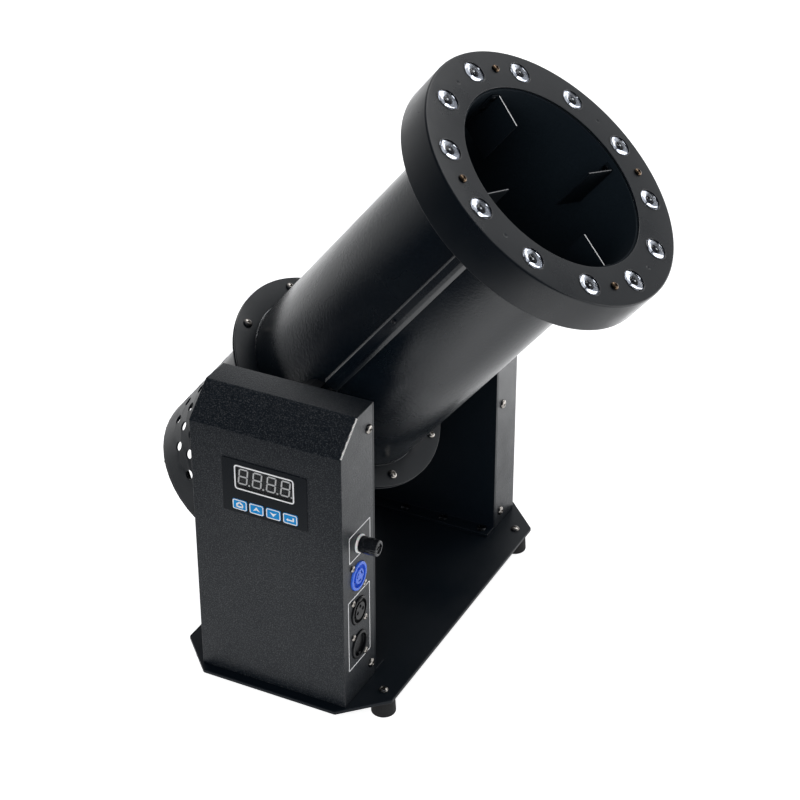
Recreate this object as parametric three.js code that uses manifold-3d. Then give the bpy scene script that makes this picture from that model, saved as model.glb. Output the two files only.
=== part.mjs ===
// Confetti blower: a fan in a perforated drum blows paper out of a tilting barrel
// with a lamp ring round its mouth.
// Millimetres. +X is the firing direction, +Y the tilt axis, from the control box to the far arm,
// and +Z is up.
// The origin is under the middle of the overall box, at the bottom of the feet.

import * as THREE from 'three'
import { mergeGeometries, mergeVertices } from 'three/addons/utils/BufferGeometryUtils.js'
import Module from 'manifold-3d'

const wasm = await Module()
wasm.setup()

// Fits
const degree = Math.PI / 180
const quarter = Math.PI / 2
const fullTurn = Math.PI * 2
const seatGap = 0.1
const turnedGap = 0.3
const overrun = 4

// Roundness, as sides of a full circle
const tubeSides = 48
const ringSides = 48
const webSides = 36
const drumSides = 36
const slotSides = 16
const bossSides = 16
const connectorSides = 16
const lensSides = 10
const boltSides = 8
const screwSides = 6
const holeSides = 6
const ventSides = 4
const hexSides = 6

// Barrel, along its axis from the tilt pivot
const firingElevation = 50.6 * degree
const tubeRadius = 79.5
const tubeWall = 2
const muzzleReach = 241.8
const flangeReach = 38.2
const drumReach = 186.5
const flangeRim = 18.9
const flangeThickness = 1.5

// Fan drum and its vents
const drumRadius = 77.8
const drumWall = 1.5
const drumLip = 6.3
const ventRadius = 4
const ventRows = 7
const ventRowPitch = 10
const ventsPerRow = 18
const ventInset = 22.5
const ventTurn = 8 * degree

// Confetti screen, clamped between the flanges
const screenThickness = 1
const screenClamp = 6.5
const screenHoleRadius = 9.5
const screenRings = 2
const screenRingPitch = 26

// Rear guard
const guardThickness = 1.5
const guardSlotWidth = 11
const guardBarWidth = 3
const guardSlots = 2
const guardSpokeWidth = 6
const guardSpokes = 4

// Lamp ring
const ringWidth = 33
const ringDepth = 30.8
const ringSheet = 1.5
const muzzleLip = 0.5
const lampCount = 12
const lampInset = 16
const lampTurn = 19.2 * degree
const ringScrewCount = 4
const ringBackInset = 0.6
const lampBoardThickness = 1.6
const lampBoardBore = 4.5
const lampBoardRim = 5
const lampBoardSetback = 12.4
const ringPostRadius = 4

// Lenses and emitters
const lensRadius = 9.3
const lensWebRim = 2
const lensWebThickness = 1.6
const lensBaseRadius = 5
const lensDome = 1.2
const emitterSize = 3.5
const emitterHeight = 1.6

// Fins inside the mouth, riveted by hand a degree or three off the quarter turns
const finTurns = [68.7, 156.8, 251.1, 340.7].map((turn) => turn * degree)
const finReach = 29.4
const finLength = 40
const finSheet = 1.5
const finFoot = 8
const finSetback = 4
const rivetShank = 1.5
const rivetHead = 2.8
const rivetHeadHeight = 0.9
const rivetInset = 8

// Cable channel along the tube: a steep upper side, a narrow crown and a long bent slope below it
const channelX = -1.6
const channelWidth = 13
const channelHeight = 5
const channelSheet = 1
const channelSteepRun = 1.8
const channelSteepDrop = 3
const channelSlopeRun = 5.8
const channelSlopeDrop = 2.6
const channelBendShare = 0.3
const channelEndGap = 4
const channelScrewShares = [0.47]
const lampCableRadius = 1.5
const lampCableGap = 0.9
const lampCableSides = 6
const lampCableSteps = 26
const lampCablePlug = 8
const cableHoleClearance = 0.5

// Tilt pivots
const pivotBossRadius = 18
const washerThickness = 2
const washerRadius = 17
const sleeveRadius = 9
const sleeveBore = 6
const sleeveStart = 9
const sleeveTail = 2
const ringNutAcross = 32
const ringNutThickness = 8
const farBoltRadius = 5
const farBoltHeadAcross = 17
const farBoltHeadHeight = 6.4

// Fan and motor
const fanRadius = 70
const fanBlades = 9
const bladeChord = 27
const bladeThickness = 2
const bladePitch = 35 * degree
const bladeRootShare = 0.8
const hubRadius = 20
const hubLength = 26
const hubSetback = 22
const shaftRadius = 4
const shaftTail = 7
const shaftInMotor = 18
const shaftNutAcross = 13
const shaftNutThickness = 5
const motorRadius = 40
const motorLength = 62
const motorBellInset = 5
const motorBellDepth = 8
const hubToBracket = 3
const bracketThickness = 2.5
const bracketHubRadius = 34
const bracketHoleRadius = 12
const bracketArms = 4
const bracketArmWidth = 12
const bracketFoot = 12

// Stand: sheet-metal arms, covers and base plate
const armGap = 12.5
const controlBoxDepth = 51.5
const farArmDepth = 40.6
const controlBoxMargin = 8.3
const farArmMargin = 9.8
const uprightWidth = 128
const uprightTop = 32.7
const swingClearance = 13.2
const armThickness = 2.5
const nearFlange = 11.6
const farFlange = 16
const topFlange = 10.6
const flangeRelief = 6
const footFlange = 13
const coverWall = 1.2
const slopeRise = 22.1
const slopeRun = 26.4
const plateLength = 184
const plateThickness = 3
const plateChamfer = 33

// Rubber feet
const footRadius = 10
const footTopRadius = 9
const footHeight = 17
const footRound = 1.5
const footInsetLong = 11.8
const footInsetWide = 41
const footScrewDepth = 10

// Screws: head radius, head height, shank radius
const bigScrew = { head: 3.9, dome: 2.2, shank: 2 }
const smallScrew = { head: 2.7, dome: 1.6, shank: 1.4 }
const screwCrownShare = 0.62
const sheetScrewLength = 8
const armFootScrewLength = 8
const armFootScrewShares = [-0.867, -0.289, 0.289, 0.867]
const armFootScrewInset = 6.6
const nearScrewHeights = [14.8, 229.5]
const nearScrewInset = 9
const farScrewHeights = [12.9, 121, 229.5]
const farScrewInset = 12.2
const flangeScrewCount = 8
const flangeScrewInset = 9.15
const flangeScrewLength = 6
const ringScrewLength = 24
const guardScrewLength = 5
const channelScrewLength = 6.6

// Control panel on the box's outer face
const panelCentre = -1
const panelDrop = 23.877
const panelWidth = 72.5
const panelHeight = 47
const panelSheet = 0.5
const windowWidth = 51.3
const windowHeight = 21.7
const windowInset = 15.1
const displayDepth = 8
const displayRim = 0.5
const keyCount = 4
const keyNames = ['menu_key', 'up_key', 'down_key', 'enter_key']
const keyPitch = 14.45
const keyWidth = 12.4
const keyHeight = 9
const keyInset = 7.5
const keyProud = 0.3
const keyFlange = 0.8
const keyFlangeThickness = 1
const keyStemRadius = 1.8
const keyPlay = 0.8
const keyGap = 0.25
const switchSize = 6
const switchHeight = 3.6
const switchPlungerRadius = 1.7
const switchPlungerHeight = 0.7
const controlBoardWidth = 84
const controlBoardMargin = 2.5
const controlBoardThickness = 1.6
const boardPostRadius = 2.5
const boardPostInset = 3.5

// Fuse holder on the box's side
const fuseHeight = 138.3
const fuseOffset = 1.9
const fuseWasherRadius = 7.6
const fuseWasherThickness = 1.8
const fuseBodyRadius = 5.2
const fuseBodyLength = 34
const fuseBodyNose = 6
const fuseBore = 3
const fuseBoreDepth = 30
const fuseNutRadius = 8.5
const fuseNutThickness = 3
const fuseCapRadius = 6.6
const fuseCapLength = 15
const fuseCapWall = 1.1
const fuseCapCup = 6
const fuseCapChamfer = 0.8
const fuseSlotWidth = 1.4
const fuseSlotDepth = 1.6
const fuseLinkRadius = 2.6
const fuseLinkLength = 20

// Round connectors on the box's side
const connectorClearance = 0.4
const connectorTop = 109.6
const connectorPitch = 32.1
const noseRadius = 11.7
const noseClearance = 0.3
const noseProud = 1.4
const connectorFlangeWidth = 26
const connectorFlangeHeight = 31
const connectorFlangeThickness = 2
const connectorScrewAcross = 19
const connectorScrewUp = 24
const connectorScrewLength = 7
const connectorTailRadius = 10.4
const connectorTail = 24
const inletRingOuter = 9.4
const inletRingInner = 6.2
const inletRingDepth = 12
const inletSlotCircle = 3.6
const inletSlotWidth = 1.6
const inletSlotLength = 4.4
const outletRingOuter = 10
const outletRingInner = 8.4
const pinCircle = 4.2
const pinRadius = 1.2
const pinHoleRadius = 1.5
const pinCount = 3
const pinLength = 10
const pinRoot = 5
const plugCavityRadius = 9.5
const plugCavityDepth = 13
const tabWidth = 5
const tabThickness = 0.8
const tabLength = 7

// Boards and supply inside the control box
const boardInset = 6
const driverBoardHeight = 72
const driverBoardAbove = 76
const driverBoardWidth = 84
const driverBoardPost = 8
const relaySize = { width: 19, height: 16, depth: 15 }
const capacitorRadius = 6.5
const capacitorLength = 20
const terminalSize = { width: 40, height: 9, depth: 12 }
const supplyWidth = 78
const supplyHeight = 58
const supplyDepth = 30
const supplyAbove = 8

// Worked out from the sizes above
const flangeRadius = tubeRadius + flangeRim
const armReach = flangeRadius + armGap
const nearReach = armReach + controlBoxDepth + controlBoxMargin
const farReach = armReach + farArmDepth + farArmMargin
const plateWidth = nearReach + farReach
const barrelY = plateWidth / 2 - farReach
const nearFace = barrelY - armReach
const farFace = barrelY + armReach
const deck = footHeight + plateThickness
const pivotHeight = Math.hypot(drumReach, drumRadius) + swingClearance
const uprightHeight = pivotHeight + uprightTop
const halfUpright = uprightWidth / 2
const sideWall = halfUpright - coverWall
const flangeFront = -flangeReach
const flangeBack = flangeFront - flangeThickness
const ringRadius = tubeRadius + ringWidth
const lampCircle = tubeRadius + lampInset
const lampBoardInner = tubeRadius + lampBoardBore
const lampBoardOuter = ringRadius - lampBoardRim
const screenFront = flangeBack - seatGap
const screenBack = screenFront - screenThickness
const housingFront = screenBack - seatGap
const housingFlangeBack = housingFront - flangeThickness
const drumBack = -drumReach
const drumInner = drumRadius - drumWall
const drumFacetShare = Math.cos(Math.PI / drumSides)
const ringInside = muzzleReach - ringSheet
const ringBack = muzzleReach - ringDepth
const muzzleRadius = tubeRadius - muzzleLip
const tubeFront = ringInside - turnedGap
const tubeInner = tubeRadius - tubeWall

// Materials
function paint(color, roughness, metalness = 0) {
  return new THREE.MeshStandardMaterial({ color, roughness, metalness, flatShading: true })
}
const powderCoat = paint(0x17181a, 0.55, 0.2)
const satinPaint = paint(0x111214, 0.4, 0.2)
const zinc = paint(0xb9bcc0, 0.35, 0.9)
const brass = paint(0xa88a52, 0.4, 0.9)
const rubber = paint(0x141414, 0.9)
const blackPlastic = paint(0x131416, 0.45)
const blueConnector = paint(0x3c6edc, 0.35)
const keyBlue = paint(0x1e86c8, 0.4)
const panelFilm = paint(0x0d0f13, 0.25)
const smoked = paint(0x1b1d22, 0.1)
const digitGrey = paint(0x2a2c30, 0.5)
const nylon = paint(0xe6e6e2, 0.5)
const boardGreen = paint(0x14482c, 0.5)
const aluminium = paint(0xa4a7ab, 0.45, 0.8)
const clearLens = paint(0xdfe6ea, 0.08)
const fuseGlass = paint(0xd8dcda, 0.1)
const fanGrey = paint(0x3a3c40, 0.5)

// Shapes. Each comes back as positions and triangles alone, closed, with its faces pointing out
function tidy(geometry) {
  const bare = new THREE.BufferGeometry()
  bare.setAttribute('position', geometry.getAttribute('position'))
  if (geometry.index) bare.setIndex(geometry.index)
  const welded = mergeVertices(bare)
  const place = welded.getAttribute('position')
  const corner = (k) => new THREE.Vector3().fromBufferAttribute(place, k)
  const kept = []
  let volume = 0
  for (let i = 0; i < welded.index.count; i += 3) {
    const [a, b, c] = [0, 1, 2].map((k) => welded.index.getX(i + k))
    if (a === b || b === c || c === a) continue
    kept.push([a, b, c])
    volume += corner(a).dot(corner(b).cross(corner(c)))
  }
  const faces = volume < 0 ? kept.map(([a, b, c]) => [a, c, b]) : kept
  welded.setIndex(faces.flat())
  return welded
}

function block(x0, x1, y0, y1, z0, z1) {
  const size = [x1 - x0, y1 - y0, z1 - z0].map(Math.abs)
  const box = new THREE.BoxGeometry(...size)
  return tidy(box.translate((x0 + x1) / 2, (y0 + y1) / 2, (z0 + z1) / 2))
}

function outlineShape(points) {
  return new THREE.Shape(points.map(([x, y]) => new THREE.Vector2(x, y)))
}

function prism(points, z0, z1) {
  const extrusion = new THREE.ExtrudeGeometry(outlineShape(points), { depth: z1 - z0, bevelEnabled: false })
  return tidy(extrusion.translate(0, 0, z0))
}

// A prism along X whose outline is in Y and Z
function sidePrism(points, x0, x1) {
  const [alongX, alongY, alongZ] = [0, 1, 2].map((k) => new THREE.Vector3().setComponent(k, 1))
  const turn = new THREE.Matrix4().makeBasis(alongY, alongZ, alongX)
  return prism(points, x0, x1).applyMatrix4(turn)
}

// Turned about Z from [radius, height] points, with its first corner at an angle from +X
function turned(profile, sides, first = 0) {
  const points = profile.map(([radius, height]) => new THREE.Vector2(radius, height))
  return tidy(new THREE.LatheGeometry(points, sides, first + quarter).rotateX(quarter))
}

function rod(radius, z0, z1, sides, first = 0) {
  return turned([[0, z0], [radius, z0], [radius, z1], [0, z1]], sides, first)
}

// A drilled hole, whose flats clear a shank of that radius
function drill(radius, z0, z1, sides = holeSides) {
  return rod(radius / Math.cos(Math.PI / sides), z0, z1, sides)
}

function hoop(inner, outer, z0, z1, sides, first = 0) {
  return turned([[inner, z0], [outer, z0], [outer, z1], [inner, z1], [inner, z0]], sides, first)
}

function group(...geometries) {
  return mergeGeometries(geometries.flat())
}

// Booleans
function solid(geometry) {
  const triVerts = Uint32Array.from(geometry.index.array)
  const vertProperties = Float32Array.from(geometry.getAttribute('position').array)
  return new wasm.Manifold(new wasm.Mesh({ numProp: 3, vertProperties, triVerts }))
}

function shapeOf(body) {
  const { vertProperties, triVerts } = body.getMesh()
  const geometry = new THREE.BufferGeometry()
  geometry.setAttribute('position', new THREE.BufferAttribute(Float32Array.from(vertProperties), 3))
  geometry.setIndex(Array.from(triVerts))
  return geometry
}

function cut(base, ...tools) {
  return shapeOf(tools.flat().reduce((left, tool) => left.subtract(solid(tool)), solid(base)))
}

function join(...shapes) {
  const [first, ...rest] = shapes.flat()
  return shapeOf(rest.reduce((whole, shape) => whole.add(solid(shape)), solid(first)))
}

function common(a, b) {
  return shapeOf(solid(a).intersect(solid(b)))
}

// Placing
const toward = {
  '+X': (shape) => shape.rotateY(quarter),
  '-X': (shape) => shape.rotateY(-quarter),
  '+Y': (shape) => shape.rotateX(-quarter),
  '-Y': (shape) => shape.rotateX(quarter),
  '-Z': (shape) => shape.rotateX(Math.PI),
}

function around(count, first, make) {
  return Array.from({ length: count }, (_, i) => make(i).rotateZ(first + (i * fullTurn) / count))
}

function spread(points, make) {
  return points.map((point) => make().translate(...point))
}

function signs(x, y) {
  return [[-x, -y], [x, -y], [x, y], [-x, y]]
}

// Fasteners stand on z = 0 with the head up
function screw(size, length) {
  const { head, dome, shank } = size
  const crown = head * screwCrownShare
  const profile = [[0, -length], [shank, -length], [shank, 0], [head, 0], [crown, dome], [0, dome]]
  return turned(profile, screwSides)
}

function hexNut(across, bore, thickness) {
  const circle = across / Math.sqrt(3)
  return cut(rod(circle, 0, thickness, hexSides), drill(bore, -overrun, thickness + overrun, bossSides))
}

function rivet(grip) {
  const [z0, z1] = [-rivetHeadHeight, grip + rivetHeadHeight]
  const [shank, head] = [rivetShank, rivetHead]
  const below = [[0, z0], [head, z0], [head, 0], [shank, 0]]
  const profile = [...below, [shank, grip], [head, grip], [head, z1], [0, z1]]
  return turned(profile, screwSides)
}

const machine = new THREE.Group()
const barrel = new THREE.Group()
barrel.position.set(0, barrelY, deck + pivotHeight)
barrel.rotation.y = quarter - firingElevation
machine.add(barrel)

function add(parent, name, geometry, material) {
  geometry.computeVertexNormals()
  const mesh = new THREE.Mesh(geometry, material)
  mesh.name = name
  parent.add(mesh)
  return mesh
}

// Base plate, feet and their screws
const halfLength = plateLength / 2
const halfWidth = plateWidth / 2
const footPlaces = signs(halfLength - footInsetLong, halfWidth - footInsetWide)
const footNames = ['foot_rear_near', 'foot_front_near', 'foot_front_far', 'foot_rear_far']
const footFlangeY = [nearFace + armFootScrewInset, farFace - armFootScrewInset]
const armFootPlaces = footFlangeY.flatMap((y) => armFootScrewShares.map((share) => [share * halfUpright, y]))

function basePlate() {
  const [a, b, c] = [halfLength, halfWidth, plateChamfer]
  const front = [[a, c - b], [a, b - c], [a - c, b]]
  const back = [[c - a, b], [-a, b - c], [-a, c - b]]
  const outline = [...front, ...back, [c - a, -b], [a - c, -b]]
  const bore = bigScrew.shank + turnedGap
  const hole = () => drill(bore, footHeight - overrun, deck + overrun)
  const holes = spread(footPlaces.map(([x, y]) => [x, y, 0]), hole)
  const armSeats = armFootPlaces.map(([x, y]) => [x, y, deck + armThickness + 2 * seatGap])
  const armScrews = spread(armSeats, () => screw(bigScrew, armFootScrewLength))
  return join(cut(prism(outline, footHeight, deck), group(holes)), ...armScrews)
}

// A foot is moulded on its screw, which comes up through the plate
function rubberFoot() {
  const top = footHeight - seatGap
  const profile = [
    [0, 0],
    [footRadius - footRound, 0],
    [footRadius, footRound],
    [footTopRadius, top],
    [0, top],
  ]
  const footScrew = screw(bigScrew, plateThickness + footScrewDepth).translate(0, 0, deck + seatGap)
  return join(turned(profile, bossSides), footScrew)
}

add(machine, 'base_plate', basePlate(), powderCoat)
footNames.forEach((name, i) => add(machine, name, rubberFoot().translate(...footPlaces[i], 0), rubber))

// Arms and their covers. A depth runs from an arm's inner face outward, with side -1 near and +1 far
const near = {
  side: -1,
  face: nearFace,
  depth: controlBoxDepth,
  flange: nearFlange,
  heights: nearScrewHeights,
  inset: nearScrewInset,
}
const far = {
  side: 1,
  face: farFace,
  depth: farArmDepth,
  flange: farFlange,
  heights: farScrewHeights,
  inset: farScrewInset,
}
const armBottom = deck + seatGap
const armTop = deck + uprightHeight
const screwBore = bigScrew.shank + turnedGap

// The cover's screws, fast in the arm's bent edges
function coverScrews({ side, face, heights, inset }) {
  const y = face + side * inset
  return heights.flatMap((height) => ['+X', '-X'].map((way) => {
    const x = (way === '+X' ? 1 : -1) * (halfUpright + seatGap)
    return toward[way](screw(bigScrew, sheetScrewLength)).translate(x, y, deck + height)
  }))
}

function coverScrewHoles(upright) {
  const long = () => toward['+X'](drill(screwBore, -halfUpright - overrun, halfUpright + overrun))
  const y = upright.face + upright.side * upright.inset
  return spread(upright.heights.map((height) => [0, y, deck + height]), long)
}

function arm(upright, pivotBore) {
  const { side, face, flange } = upright
  const at = (depth) => face + side * depth
  const flangeEdge = sideWall - seatGap
  const flangeTop = armTop - coverWall - seatGap
  const reach = armThickness + flange
  const sideTop = flangeTop - flangeRelief
  const web = block(-halfUpright, halfUpright, at(0), at(armThickness), armBottom, flangeTop)
  const left = block(-flangeEdge, armThickness - flangeEdge, at(0), at(reach), armBottom, sideTop)
  const right = block(flangeEdge - armThickness, flangeEdge, at(0), at(reach), armBottom, sideTop)
  const topReach = armThickness + topFlange
  const top = block(-flangeEdge, flangeEdge, at(0), at(topReach), flangeTop - armThickness, flangeTop)
  const footTop = armBottom + armThickness
  const foot = block(-halfUpright, halfUpright, at(-footFlange), at(armThickness), armBottom, footTop)
  const pivotHole = toward['+Y'](drill(pivotBore, -overrun, overrun, bossSides))
  const pivot = pivotHole.translate(0, face, deck + pivotHeight)
  const footHole = () => drill(screwBore, armBottom - overrun, armBottom + 2 * overrun)
  const footHoles = armFootPlaces.filter(([, y]) => Math.sign(y) === side).map(([x, y]) => [x, y, 0])
  const sheet = cut(join(web, left, right, top, foot), pivot, ...spread(footHoles, footHole))
  return join(sheet, ...coverScrews(upright))
}

// The cover's outline in depth and height, moved in by a wall's thickness
function coverOutline(depth, wall, openDepth, openHeight) {
  const normal = new THREE.Vector2(slopeRise, slopeRun).normalize()
  const reach = normal.dot(new THREE.Vector2(depth, uprightHeight - slopeRise)) - wall
  const [front, top] = [depth - wall, uprightHeight - wall]
  const kneeHeight = (reach - normal.x * front) / normal.y
  const browDepth = (reach - normal.y * top) / normal.x
  return [
    [openDepth, openHeight],
    [front, openHeight],
    [front, kneeHeight],
    [browDepth, top],
    [openDepth, top],
  ]
}

function cover(upright, cuts) {
  const { side, face, depth } = upright
  const start = armThickness + seatGap
  const placed = (points) => points.map(([d, z]) => [face + side * d, deck + z])
  const outer = sidePrism(placed(coverOutline(depth, 0, start, seatGap)), -halfUpright, halfUpright)
  const inside = coverOutline(depth, coverWall, start - overrun, -overrun)
  const hollow = sidePrism(placed(inside), -sideWall, sideWall)
  const shell = cut(tidy(outer), tidy(hollow), ...coverScrewHoles(upright), ...cuts)
  const lidEnd = face + side * (start + coverWall)
  return join(shell, block(-halfUpright, halfUpright, face, lidEnd, armTop - coverWall, armTop))
}

// Places on the control box
const boxFront = nearFace - controlBoxDepth
const boxInside = boxFront + coverWall
const panelTop = deck + uprightHeight - slopeRise - panelDrop
const panelZ = panelTop - panelHeight / 2
const windowZ = panelTop - windowInset
const keyZ = panelTop - panelHeight + keyInset
const keyXs = keyNames.map((_, i) => panelCentre + (i - (keyCount - 1) / 2) * keyPitch)
const connectorY = nearFace - armThickness - nearFlange - connectorClearance - connectorFlangeWidth / 2
const connectorZs = [0, 1, 2].map((i) => deck + connectorTop - i * connectorPitch)
const fuseY = connectorY + fuseOffset
const fuseZ = deck + fuseHeight
const outside = halfUpright + seatGap

function panelOpening(x, z, width, height, grow) {
  const [w, h] = [width / 2 + grow, height / 2 + grow]
  return block(x - w, x + w, boxFront - overrun, boxInside + overrun, z - h, z + h)
}
const panelOpenings = [
  panelOpening(panelCentre, windowZ, windowWidth, windowHeight, 0),
  ...keyXs.map((x) => panelOpening(x, keyZ, keyWidth, keyHeight, keyGap)),
]

function connectorScrewPlaces() {
  const [y, z] = [connectorScrewAcross / 2, connectorScrewUp / 2]
  return connectorZs.flatMap((height) => [[connectorY - y, height + z], [connectorY + y, height - z]])
}

function sideHole(radius, y, z, sides) {
  return toward['+X'](drill(radius, sideWall - overrun, halfUpright + overrun, sides)).translate(0, y, z)
}

function controlBoxCover() {
  const fuseHole = sideHole(fuseBodyRadius + turnedGap, fuseY, fuseZ, bossSides)
  const noses = connectorZs.map((z) => sideHole(noseRadius + noseClearance, connectorY, z, connectorSides))
  const small = smallScrew.shank + turnedGap
  const screws = connectorScrewPlaces().map(([y, z]) => sideHole(small, y, z, holeSides))
  return cover(near, [...panelOpenings, fuseHole, ...noses, ...screws])
}

add(machine, 'near_arm', arm(near, sleeveRadius + turnedGap), powderCoat)
add(machine, 'far_arm', arm(far, farBoltRadius + turnedGap), powderCoat)
add(machine, 'control_box_cover', controlBoxCover(), powderCoat)
add(machine, 'far_arm_cover', cover(far, []), powderCoat)

// Control panel: film, window, display, keys and the board behind them
const filmBack = boxFront - seatGap
const filmFront = filmBack - panelSheet
const displayFront = boxInside + seatGap
const boardFront = displayFront + displayDepth + seatGap
const boardBack = boardFront + controlBoardThickness
const controlBoardHeight = panelHeight + 2 * controlBoardMargin

function panelFilmSheet() {
  const [w, h] = [panelWidth / 2, panelHeight / 2]
  const sheet = block(panelCentre - w, panelCentre + w, filmFront, filmBack, panelZ - h, panelZ + h)
  return cut(sheet, ...panelOpenings)
}

function displayWindow() {
  const [w, h] = [windowWidth / 2 - seatGap, windowHeight / 2 - seatGap]
  return block(panelCentre - w, panelCentre + w, filmFront, boxInside, windowZ - h, windowZ + h)
}

function displayModule() {
  const [w, h] = [windowWidth / 2 - displayRim, windowHeight / 2 - displayRim]
  const back = displayFront + displayDepth
  return block(panelCentre - w, panelCentre + w, displayFront, back, windowZ - h, windowZ + h)
}

const boardPostX = controlBoardWidth / 2 - boardPostInset
const boardPostPlaces = signs(boardPostX, controlBoardHeight / 2 - boardPostInset)

// The board carries the four key switches and its pressed-in posts
function controlBoard() {
  const [w, h] = [controlBoardWidth / 2, controlBoardHeight / 2]
  const board = block(panelCentre - w, panelCentre + w, boardFront, boardBack, panelZ - h, panelZ + h)
  const root = (boardFront + boardBack) / 2
  const half = switchSize / 2
  const top = boardFront - switchHeight
  const switches = keyXs.flatMap((x) => {
    const body = block(x - half, x + half, top, root, keyZ - half, keyZ + half)
    const plunger = toward['-Y'](rod(switchPlungerRadius, -switchHeight / 2, switchPlungerHeight, holeSides))
    return [body, plunger.translate(x, top, keyZ)]
  })
  const post = () => toward['+Y'](rod(boardPostRadius, displayFront, root, hexSides))
  const posts = spread(boardPostPlaces.map(([x, z]) => [panelCentre + x, 0, panelZ + z]), post)
  return join(board, ...switches, ...posts)
}

function key() {
  const [w, h] = [keyWidth / 2, keyHeight / 2]
  const flangeFrontFace = boxInside + turnedGap
  const flangeBackFace = flangeFrontFace + keyFlangeThickness
  const cap = block(-w, w, filmFront - keyProud, flangeBackFace, -h, h)
  const [fw, fh] = [w + keyFlange, h + keyFlange]
  const flange = block(-fw, fw, flangeFrontFace, flangeBackFace, -fh, fh)
  const stemEnd = boardFront - switchHeight - switchPlungerHeight - keyPlay
  const stem = toward['+Y'](rod(keyStemRadius, flangeFrontFace, stemEnd, holeSides))
  return join(cap, flange, stem)
}

add(machine, 'panel_film', panelFilmSheet(), panelFilm)
add(machine, 'display_window', displayWindow(), smoked)
add(machine, 'display_module', displayModule(), digitGrey)
add(machine, 'control_board', controlBoard(), boardGreen)
keyNames.forEach((name, i) => add(machine, name, key().translate(keyXs[i], 0, keyZ), keyBlue))

// Fuse holder: its own axis points out of the wall, from the wall's outer face
function fuseHolder() {
  const back = fuseBodyNose - fuseBodyLength
  const nutBack = -coverWall - seatGap - fuseNutThickness
  const barrelPart = rod(fuseBodyRadius, back, fuseBodyNose, bossSides)
  const nut = rod(fuseNutRadius, nutBack, -coverWall - seatGap, hexSides)
  const bore = rod(fuseBore, fuseBodyNose - fuseBoreDepth, fuseBodyNose + overrun, boltSides)
  return cut(join(barrelPart, nut), bore)
}

function fuseCap() {
  const start = fuseWasherThickness + 2 * seatGap
  const end = start + fuseCapLength
  const [r, c, w] = [fuseCapRadius, fuseCapChamfer, fuseCapWall]
  const cup = start + fuseCapCup
  const profile = [[0, end], [r - c, end], [r, end - c], [r, start], [r - w, start], [r - w, cup], [0, cup]]
  const slotHalf = fuseSlotWidth / 2
  const slot = block(-slotHalf, slotHalf, -r - overrun, r + overrun, end - fuseSlotDepth, end + overrun)
  return cut(turned(profile, bossSides), slot)
}

function fuseLink() {
  const end = fuseBodyNose - seatGap
  return rod(fuseLinkRadius, end - fuseLinkLength, end, boltSides)
}

const fuseRing = () => hoop(fuseBodyRadius + turnedGap, fuseWasherRadius, 0, fuseWasherThickness, bossSides)
const onFuse = (shape, x) => toward['+X'](shape).translate(x, fuseY, fuseZ)

add(machine, 'fuse_holder', onFuse(fuseHolder(), halfUpright), blackPlastic)
add(machine, 'fuse_washer', onFuse(fuseRing(), outside), nylon)
add(machine, 'fuse_link', onFuse(fuseLink(), halfUpright), fuseGlass)
add(machine, 'fuse_cap', onFuse(fuseCap(), halfUpright), blackPlastic)

// Round connectors, each on its own axis out of the wall. Their local X points down once they are turned
function connectorBody() {
  const flangeFace = -coverWall - seatGap
  const flangeEnd = flangeFace - connectorFlangeThickness
  const [h, w] = [connectorFlangeHeight / 2, connectorFlangeWidth / 2]
  const flange = block(-h, h, -w, w, flangeEnd, flangeFace)
  const nose = rod(noseRadius, flangeEnd, noseProud, connectorSides)
  const tail = rod(connectorTailRadius, tailEnd, flangeEnd + overrun / 4, connectorSides)
  const [down, across] = [connectorScrewUp / 2, connectorScrewAcross / 2]
  const seats = [[-down, -across, seatGap], [down, across, seatGap]]
  const screws = spread(seats, () => screw(smallScrew, connectorScrewLength))
  const [t, l] = [tabThickness / 2, tabLength]
  const tabs = around(pinCount, 0, () => {
    const tab = block(-t, t, -tabWidth / 2, tabWidth / 2, tailEnd - l, tailEnd + t)
    return tab.translate(pinCircle, 0, 0)
  })
  return join(flange, nose, tail, ...screws, ...tabs)
}

const pinAngles = Array.from({ length: pinCount }, (_, i) => (i * fullTurn) / (pinCount + 1) + quarter)
const pinPlaces = pinAngles.map((angle) => [pinCircle * Math.cos(angle), pinCircle * Math.sin(angle), 0])
const tailEnd = -coverWall - seatGap - connectorFlangeThickness - connectorTail

function powerInlet() {
  const floor = noseProud - inletRingDepth
  const groove = hoop(inletRingInner, inletRingOuter, floor, noseProud + overrun, connectorSides)
  const [w, l] = [inletSlotWidth / 2, inletSlotLength / 2]
  const slots = around(pinCount, 0, () => {
    const slot = block(-w, w, -l, l, floor, noseProud + overrun)
    return slot.translate(inletSlotCircle, 0, 0)
  })
  return cut(connectorBody(), groove, ...slots)
}

function dataOutlet() {
  const floor = noseProud - inletRingDepth
  const groove = hoop(outletRingInner, outletRingOuter, floor, noseProud + overrun, connectorSides)
  const hole = () => rod(pinHoleRadius, noseProud - pinLength, noseProud + overrun, holeSides)
  const holes = spread(pinPlaces, hole)
  return cut(connectorBody(), groove, ...holes)
}

function dataInlet() {
  const floor = noseProud - plugCavityDepth
  const cavity = rod(plugCavityRadius, floor, noseProud + overrun, connectorSides)
  const pins = spread(pinPlaces, () => rod(pinRadius, floor - pinRoot, floor + pinLength, holeSides))
  return join(cut(connectorBody(), cavity), ...pins)
}

const onWall = (shape, z) => toward['+X'](shape).translate(halfUpright, connectorY, z)
add(machine, 'power_inlet', onWall(powerInlet(), connectorZs[0]), blueConnector)
add(machine, 'data_outlet', onWall(dataOutlet(), connectorZs[1]), blackPlastic)
add(machine, 'data_inlet', onWall(dataInlet(), connectorZs[2]), blackPlastic)

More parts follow.
